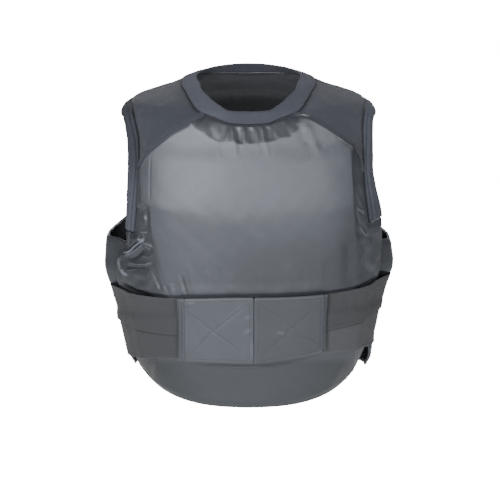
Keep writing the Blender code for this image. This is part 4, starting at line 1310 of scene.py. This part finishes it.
# Tape over the seam between a yoke and a panel: a strip carried along the seam, from a little over the
# panel's edge to a little over the yoke, that slopes down from one to the other
# The two tapes are painted in different tones for how the light falls on each
seamTape = {"overPanel": 1.9, "overYoke": 5.2, "thick": 0.7, "panelSide": 4.0, "yokeSide": 2.2, "crown": 0.25,
            "lessLift": 0.4, "tone": {"left": 1.16, "right": 1.0}, "sewnRows": (1.6, 6.0)}


# Height above the form = from the panel's side down to the yoke's in a soft step, plus a crown (the root
# of the sine of the share of the width), plus what the insert lifts it in front
def makeTape(side, part):
    name, line, mirror = f"{part}_tape_{side}", seam[side][part + "Seam"], (sides[side], 1, 1)
    edge = formPoint(*line.T)
    outward = unit(np.cross(np.gradient(edge, axis=0), formNormal(edge))) * (1 if part == "front" else -1)
    share = np.linspace(0, 1, 9)[:, None, None]
    reach = seamTape["overPanel"] - share * (seamTape["overPanel"] + seamTape["overYoke"])
    points = ontoForm(edge + outward * reach)
    lift = seamTape["panelSide"] + (seamTape["yokeSide"] - seamTape["panelSide"]) * rise(share, 0.15, 0.85)
    if part == "front":
        lift = lift + (overInsert["lift"] - seamTape["lessLift"]) * seamLift(points * mirror, side)[..., None]
    normals = formNormal(points)
    base = (points + normals * (lift - seamTape["thick"])) * mirror
    outer = (points + normals * (lift + seamTape["crown"] * np.sin(np.pi * share) ** 0.5)) * mirror
    # Each side's tone for how the light falls on it, painted light
    tone = np.full(outer.shape[:2], seamTape["tone"][side])
    dress(clothShell(name, outer, base, clothPlaces(points), tone, 0.8), "jersey")
    columns = np.arange(float(len(line)))
    rows = [stitchesAt(outer, normals * mirror, np.full(len(line), at), columns)
            for at in seamTape["sewnRows"]]
    addStitches("stitches_" + name, rows)


# Rib bands: a strip carried along the armhole seam, square to it, with a crease where it is folded
# Painted shade along the seam, in the crease, at the top of the left band and low on the right one
band = {"thick": 2.6, "width": 25.0, "taperFrom": -120.0, "endWidth": {"left": 21.0, "right": 29.0},
        "endFlare": {"left": 0.0, "right": 6.0}, "crown": 0.9, "crease": 7.5, "creaseDepth": 0.9,
        "seamDark": {"left": 0.5, "right": 0.75}, "topDark": {"left": 0.42, "right": 0.0}, "creaseDark": 0.35,
        "tone": {"left": 1.22, "right": 1.25}, "lowDark": {"left": 0.0, "right": 0.32}}


# Height above the form = thickness, plus a crown (the sine of the share of the width), less the crease,
# plus the roll beside it and some waviness
def makeBand(side):
    s, mirror = seam[side], (sides[side], 1, 1)
    inner = joined(s["frontUnder"][::-1], s["frontOver"][::-1], s["backOver"], s["backUnder"])
    edge = formPoint(*inner.T)
    outward = unit(np.cross(np.gradient(edge, axis=0), formNormal(edge)))
    share, number = np.linspace(0, 1, 21)[:, None], np.arange(len(inner))
    frontLeg = np.where(number <= finer * seamSteps["Under"], inner[:, 1], 0.0)
    ending = rise(-frontLeg, -band["taperFrom"], -frontLeg[0])
    width = band["width"] + (band["endWidth"][side] - band["width"]) * ending
    points = ontoForm(edge + (share * width)[..., None] * outward)
    normals = formNormal(points)
    points = drawnIn(points, normals, band["thick"] / 2 - rimLess)
    places, across = clothPlaces(points), share * width
    height = band["thick"] + band["crown"] * np.sin(np.pi * share) ** 0.7 * np.ones(len(inner))
    front = rise(number, 150, 70)
    crease = band["crease"] + 1.2 * np.sin(number / 11.0)
    height -= band["creaseDepth"] * bell(across, crease, 1.5) * front
    height += 0.35 * bell(across, crease + 4.5, 2.4) * front
    height += 0.22 * waviness(places[..., 0], places[..., 1] * 2.2, 26, 11)
    base = raised(points, normals, share * ending * band["endFlare"][side])
    outer = raised(base, normals, height) * mirror
    # Painted shade along the seam, in the crease, at the top of the left band and low on the right one
    tone = 1 - band["seamDark"][side] * bell(across, 0, 1.8)
    tone = tone - band["creaseDark"] * front * bell(across, crease, 1.3)
    tone -= band["topDark"][side] * rise(edge[:, 2], -160, -90)
    tone *= band["tone"][side] - band["lowDark"][side] * rise(-edge[:, 2], 150, 190)
    piece = clothShell(f"rib_band_{side}", outer, base * mirror, places, tone, 0.7)
    dress(piece, "rib", f"armhole_band_{side}")
    declareSheet(points)


# Collar: a rib strip carried round the neck, crowned across its width
# Painted shade along the seam and the top edge, and the left side painted paler, painted light
collar = {"thick": 2.6, "crown": 0.7, "ripple": 0.25, "seamDark": 0.75, "topDark": 0.12, "leftPale": 0.2}


# Pattern = from the seam to the top edge in even steps. Height above the form = thickness, plus a crown
# (the sine of the share of the width to the power 0.8), plus some waviness
def makeCollar():
    names = ("collarFront", "collarSide", "collarBack")
    left, right = (joined(*(seam[side][name] for name in names)) for side in sides)
    turn, low = np.concatenate([left[::-1][:-1] * (-1, 1), right[:-1]]).T
    share = np.linspace(0, 1, 17)[:, None]
    pattern = np.stack([turn + 0 * share, low + (smooth(np.abs(turn), collarTop) - low) * share], axis=-1)
    points, normals = laid(pattern, collar["thick"] / 2 - rimLess, ringClosed=True)
    places = clothPlaces(points)
    height = collar["thick"] + collar["crown"] * np.sin(np.pi * share) ** 0.8
    height = height + collar["ripple"] * waviness(places[..., 0], places[..., 1] * 1.5, 30, 21)
    # Painted shade along the seam and the top edge, and painted light on the left side
    tone = 1 - collar["seamDark"] * bell(share, 0, 0.05) - collar["topDark"] * bell(share, 1, 0.08)
    tone = tone * (1 + collar["leftPale"] * rise(-points[..., 0], 15, 45))
    outer = raised(points, normals, height)
    piece = clothShell("rib_collar", outer, points, places, tone, 0.75, ringClosed=True)
    dress(piece, "rib", "collar")
    declareSheet(points)


# Straps: even bands of elastic round the waist, from the back panel to under the patches
# Painted highlights along the edges, a painted shadow on the lower strap under the upper one's edge, and the
# lower straps painted in different tones on each side for how the light falls
strap = {"width": 56.0, "thick": 1.8, "rows": 32, "columns": 192, "underPatch": 14.0, "backEnd": 138.0,
         "lowerBy": 37.0, "wave": 0.35, "selvage": 0.25, "sewn": 5.0, "sewnLength": 50.0, "edgePale": 0.1,
         "divideDark": (0.52, 0.9), "lowTone": {"left": 1.03, "right": 1.52}}
# How far the upper strap's lower edge covers the lower strap: turn, millimetres
strapOverlap = ((-150, 2), (-75, 3), (-30, 19), (30, 19), (75, 3), (150, 2))
# Patches and the folded strips beside them
# Painted shade in the slit between the patches and a painted highlight on the right patch's edge beside it;
# the two patches are painted in different tones for how the light falls on each
patch = {"width": 98.5, "thick": 3.2, "middle": 8.5, "edge": 1.8, "overStrap": 1.5, "waist": -330.0,
         "foldWidth": {"left": 11.0, "right": 5.0}, "sewn": 4.5, "furrow": 0.35, "ripple": 0.2, "pleat": 3.6,
         "pleatHeight": 0.25, "columns": 96, "foldColumns": 16, "rows": 96, "slit": 1.6, "slitDark": 0.85,
         "slitPale": 0.4, "tone": {"left": 1.03, "right": 0.76}}
# How tall they are: millimetres from the middle, height
patchHeight = ((-110, 96), (-50, 99), (8, 101), (40, 98), (110, 89))


# The turns at which the waist is this far along from the middle
def turnsAlong(at, height):
    fine = np.linspace(-75, 75, 301)
    line = formPoint(fine, np.full(len(fine), height))
    far = passed(raised(line, formNormal(line), layers["insert"] + patch["thick"]))
    return np.interp(at, far - np.interp(0, fine, far), fine)


# The sewn box and its cross at a strap's back end, as rows and columns of the strap's grid
def strapBox(points):
    rows, last = strap["rows"], points.shape[1] - 1
    step = np.linalg.norm(points[rows // 2, -1] - points[rows // 2, -2])
    top = strap["sewn"] / strap["width"] * rows
    low, near, far = rows - top, last - strap["sewn"] / step, last - strap["sewnLength"] / step
    return straightAlong([(top, near), (low, near), (low, far), (top, far), (top, near), (low, far),
                          (low, near), (top, far)], 280)


# Height above the form = the panels' own, plus the lower strap where the upper one covers it, plus slow
# waves at the sides
def makeStrap(side, low):
    name = "lower" if low else "upper"
    end = sides[side] * (patch["width"] - strap["underPatch"]) + patch["middle"]
    below = np.linspace(0, strap["width"], strap["rows"] + 1)[:, None]
    starts = [turnsAlong(end, smooth(0, strapTop) - far - low * strap["lowerBy"]) for far in below[:, 0]]
    turn = np.linspace(starts, strap["backEnd"] * sides[side], strap["columns"] + 1, axis=1)
    overlap = smooth(turn, strapOverlap)
    pattern = np.stack([turn, smooth(turn, strapTop) - low * (strap["width"] - overlap) - below], axis=-1)
    points, normals = laid(pattern, strap["thick"] / 2)
    places = clothPlaces(points)
    base = raised(points, normals, strapLift(turn, pattern[..., 1]))
    if not low:
        over = rise(below - strap["width"] + overlap, -16, -3)
        base = raised(base, normals, (strap["thick"] + layers["gap"]) * over)
    waves = 1 + waviness(places[..., 0] * 0.5, places[..., 1], 70, 31 + low)
    base = raised(base, normals, strap["wave"] * rise(np.abs(turn), 44, 60) * waves)
    edges = np.minimum(below, strap["width"] - below) + 0 * turn
    outer = raised(base, normals, strap["thick"] + strap["selvage"] * bell(edges, 2.2, 1.2))
    # Painted highlights along the edges, and on the lower strap a painted shadow under the upper one's edge
    tone = 1 + strap["edgePale"] * bell(edges, 0, 2.5)
    if low:
        front, atSide = strap["divideDark"]
        dark = front + (atSide - front) * rise(np.abs(turn), 40, 56)
        tone *= strap["lowTone"][side] * (1 - dark * bell(below - overlap, 1.0, 1.9))
    piece = clothShell(f"elastic_strap_{name}_{side}", outer, base, places, tone, 0.8)
    dress(piece, "elastic", f"strap_{name}_{side}")
    declareSheet(points)
    addStitches(f"stitches_strap_{name}_{side}", [stitchesAt(outer, normals, *strapBox(points).T)])


# Creases and dents of the patches, where the photograph shows them: first the sewn crosses
crosses = {
    "left": (((185.7, 309.8), (212.6, 331.3), (244.2, 353.6)),
             ((191.0, 353.6), (212.6, 331.3), (249.5, 303.5))),
    "right": (((260.5, 304), (280.8, 317.6), (302.8, 334.5), (322.4, 346.5)),
              ((262, 356), (292, 328), (321, 301))),
}
patchFolds = (
    *((line, 0.9, -0.6) for line in crosses["left"]),
    *((line, 0.9, -0.35) for line in crosses["right"]),
    (((216, 328.5), (231, 315.5), (248, 303)), 2.6, 0.3),
    (((244.5, 318), (251.5, 317.2)), 1.3, 0.45),
    (((244.8, 333.2), (252.4, 329.2)), 1.4, 0.7),
    (((246, 337.5), (252.5, 336.8)), 1.6, -0.4),
    (((275.5, 333.2), (286.0, 334.1)), 1.3, 0.6),
    (((177.5, 301.5), (186, 304), (194, 303.5)), 1.4, 0.6),
    (((184, 306.5), (188, 309), (193, 308)), 1.2, -0.5),
    (((252.2, 340), (252.8, 350), (253.6, 361)), 1.6, 0.5),
)

# Painted highlights and painted shade, where they are paler or darker: path, half width, change
paintedPatchLight = (
    (((244.0, 318.2), (250.5, 317.2)), 1.8, 0.35),
    (((243.5, 334.0), (251.0, 329.8)), 1.8, 0.5),
    (((276.0, 333.0), (286.0, 334.2)), 1.5, 0.45),
    (((186.5, 304), (196, 302.5)), 1.4, 0.5),
    (((218, 330), (232, 316), (246, 304)), 3.0, 0.2),
    (((187.5, 312), (187.0, 352)), 1.6, 0.25),
    (((250.8, 340), (251.6, 360)), 1.4, 0.4),
    (((178.0, 303), (178.5, 356)), 0.8, -0.35),
    (((181.6, 303), (182.0, 358)), 0.8, -0.35),
    (((325.5, 296), (327.0, 350)), 0.9, -0.3),
)


# A patch or the folded strip beside it: a flat piece in front of the straps. Height above them =
# thickness, less what its border is thinner, plus creases, waviness and the furrow of its stitches, or
# pleats (a cosine across the width)
def waistPiece(side, name, finish, slot, start, width, steps):
    isPatch = slot == "closure_patch"
    at = np.linspace(start, start + width - patch["slit"] * (isPatch and side == "left"), steps + 1)
    top = smooth(turnsAlong(at, patch["waist"]), strapTop) + patch["overStrap"]
    few, rows = slice(None, None, steps // 2), []
    for share in np.linspace(0, 1, patch["rows"] + 1):
        height = top - share * smooth(at, patchHeight)
        turn = np.interp(at, at[few], [turnsAlong(a, h) for a, h in zip(at[few], height[few])])
        rows.append(np.stack([turn, height], axis=-1))
    pattern = np.stack(rows)
    points, normals = laid(pattern, patch["edge"] / 2)
    places = clothPlaces(points)
    lift = strapLift(pattern[..., 0], pattern[..., 1]) + 2 * (strap["thick"] + layers["gap"])
    base = raised(points, normals, lift)
    across, down = pictureOf(raised(base, normals, patch["thick"]))
    relief = foldRelief(across, down, patchFolds)
    # Painted highlights and shade on creases, and each side's tone for how the light falls on it
    tone = patch["tone"][side] * (1 + foldRelief(across, down, paintedPatchLight))
    u, v = places[..., 0] + width / 2, places[..., 1]
    border = np.minimum(np.minimum(u, width - u), np.minimum(v, v.max() - v))
    relief -= (patch["thick"] - patch["edge"]) * (1 - rise(border, -0.6, 2.4))
    if isPatch:
        relief -= patch["furrow"] * bell(border, patch["sewn"], 0.8)
        relief += patch["ripple"] * waviness(places[..., 0], places[..., 1], 40, 41 + (start > 0))
        # Painted shade in the slit on the left patch, a painted highlight on the right patch's edge beside it
        tone *= (1 - patch["slitDark"] * bell(width - u, 0, 2.0) if side == "left"
                 else 1 + patch["slitPale"] * bell(u, 2.2, 1.2))
    else:
        pleats = max(1, round(width / patch["pleat"]))
        relief += patch["pleatHeight"] * np.cos(2 * np.pi * u * pleats / width)
    outer = raised(base, normals, patch["thick"] + relief)
    piece = clothShell(name, outer, base, places, tone, 0.8)
    dress(piece, finish, f"{slot}_{side}")
    return piece, points, outer, normals


# A patch with the folded strip outside it, its border's stitches and its cross
def makePatch(side):
    start = patch["middle"] - patch["width"] * (side == "left")
    foldWidth = patch["foldWidth"][side]
    foldStart = start - foldWidth if side == "left" else start + patch["width"]
    fold, *_ = waistPiece(side, f"folded_edge_{side}", "foldedNylon", "patch_edge", foldStart, foldWidth,
                          patch["foldColumns"])
    piece, points, outer, normals = waistPiece(
        side, f"nylon_patch_{side}", "brushedNylon", "closure_patch", start, patch["width"], patch["columns"])
    wide, long, area = clothSize(points)
    rows = [insetLine(outer, normals, border, patch["sewn"]) for border in ("top", "bottom", "first", "last")]
    rows += [picturedLine(outer, normals, line) for line in crosses[side]]
    addStitches(f"stitches_patch_{side}", rows)


makeFrontPanel()
print("front panel made")
makeBackPanel()
print("back panel made")
for side in sides:
    makeYoke(side)
    makeTape(side, "front")
    makeTape(side, "back")
    makeBand(side)
makeCollar()
print("shoulders, bands and collar made")
for side in sides:
    makeStrap(side, False)
    makeStrap(side, True)
for side in sides:
    makePatch(side)
print("straps and patches made")

# Floor, lights and camera. The lights: place, aim, width and height in metres, power in watts
studio = {"floorHeight": -1.25, "floorHalf": 30, "floorColour": (0.86, 0.86, 0.85), "floorGlow": 16.0,
          "air": 0.20}
lights = {
    "key": ((-1.23, -2.64, 0.51), (0, 0, -0.22), 1.1, 1.1, 80),
    "fill": ((1.24, -2.66, 0.40), (0, 0, -0.22), 1.1, 1.1, 42),
    "above": ((0.3, 0.6, 2.2), (0, 0, -0.1), 1.6, 1.2, 8),
    "behind": ((0.4, 2.1, 1.9), (0, 0, -0.22), 1.6, 1.2, 60),
}


# A light or the camera, at its place and turned to its aim
def addAimed(name, data, place, aim):
    thing = bpy.data.objects.new(name, data)
    thing.location = place
    thing.rotation_euler = (Vector(aim) - Vector(place)).to_track_quat("-Z", "Y").to_euler()
    bpy.context.scene.collection.objects.link(thing)
    return thing


# A pale floor that looks white to the camera alone, even light from all round, and four lights
def makeStudio():
    corners = np.array([(-1, -1), (1, -1), (1, 1), (-1, 1)], float) * studio["floorHalf"]
    floor = addMesh("studio_floor", np.column_stack([corners, np.full(4, studio["floorHeight"])]),
                    [np.array([[0, 1, 2, 3]])])
    paint = bpy.data.materials.new("pale floor")
    paint.use_nodes = True
    tree = paint.node_tree
    seen = addNode(tree, "LightPath", {}).outputs["Is Camera Ray"]
    wire(tree, tree.nodes["Principled BSDF"],
         {"Base Color": (*studio["floorColour"], 1), "Roughness": 0.9, "Emission Color": (1, 1, 1, 1),
          "Emission Strength": calc(tree, "MULTIPLY", seen, studio["floorGlow"])})
    floor.data.materials.append(paint)
    world = bpy.data.worlds.new("pale studio")
    world.use_nodes = True
    background = world.node_tree.nodes["Background"]
    wire(world.node_tree, background, {"Color": (1, 1, 1, 1), "Strength": studio["air"]})
    bpy.context.scene.world = world
    for name, (place, aim, wide, tall, power) in lights.items():
        data = bpy.data.lights.new(name, "AREA")
        data.shape, data.size, data.size_y, data.energy = "RECTANGLE", wide, tall, power
        addAimed(name, data, place, aim)


# The camera at the photograph's height and distance
def makeCamera():
    tilt, target = np.radians(cameraPlan["elevation"]), np.array(cameraPlan["target"])
    data = bpy.data.cameras.new("camera")
    data.lens, data.sensor_width = cameraPlan["lens"], cameraPlan["sensor"]
    place = target + cameraPlan["distance"] * np.array([0, -np.cos(tilt), np.sin(tilt)])
    bpy.context.scene.camera = addAimed("camera", data, place, target)


makeStudio()
makeCamera()
bpy.context.view_layer.update()
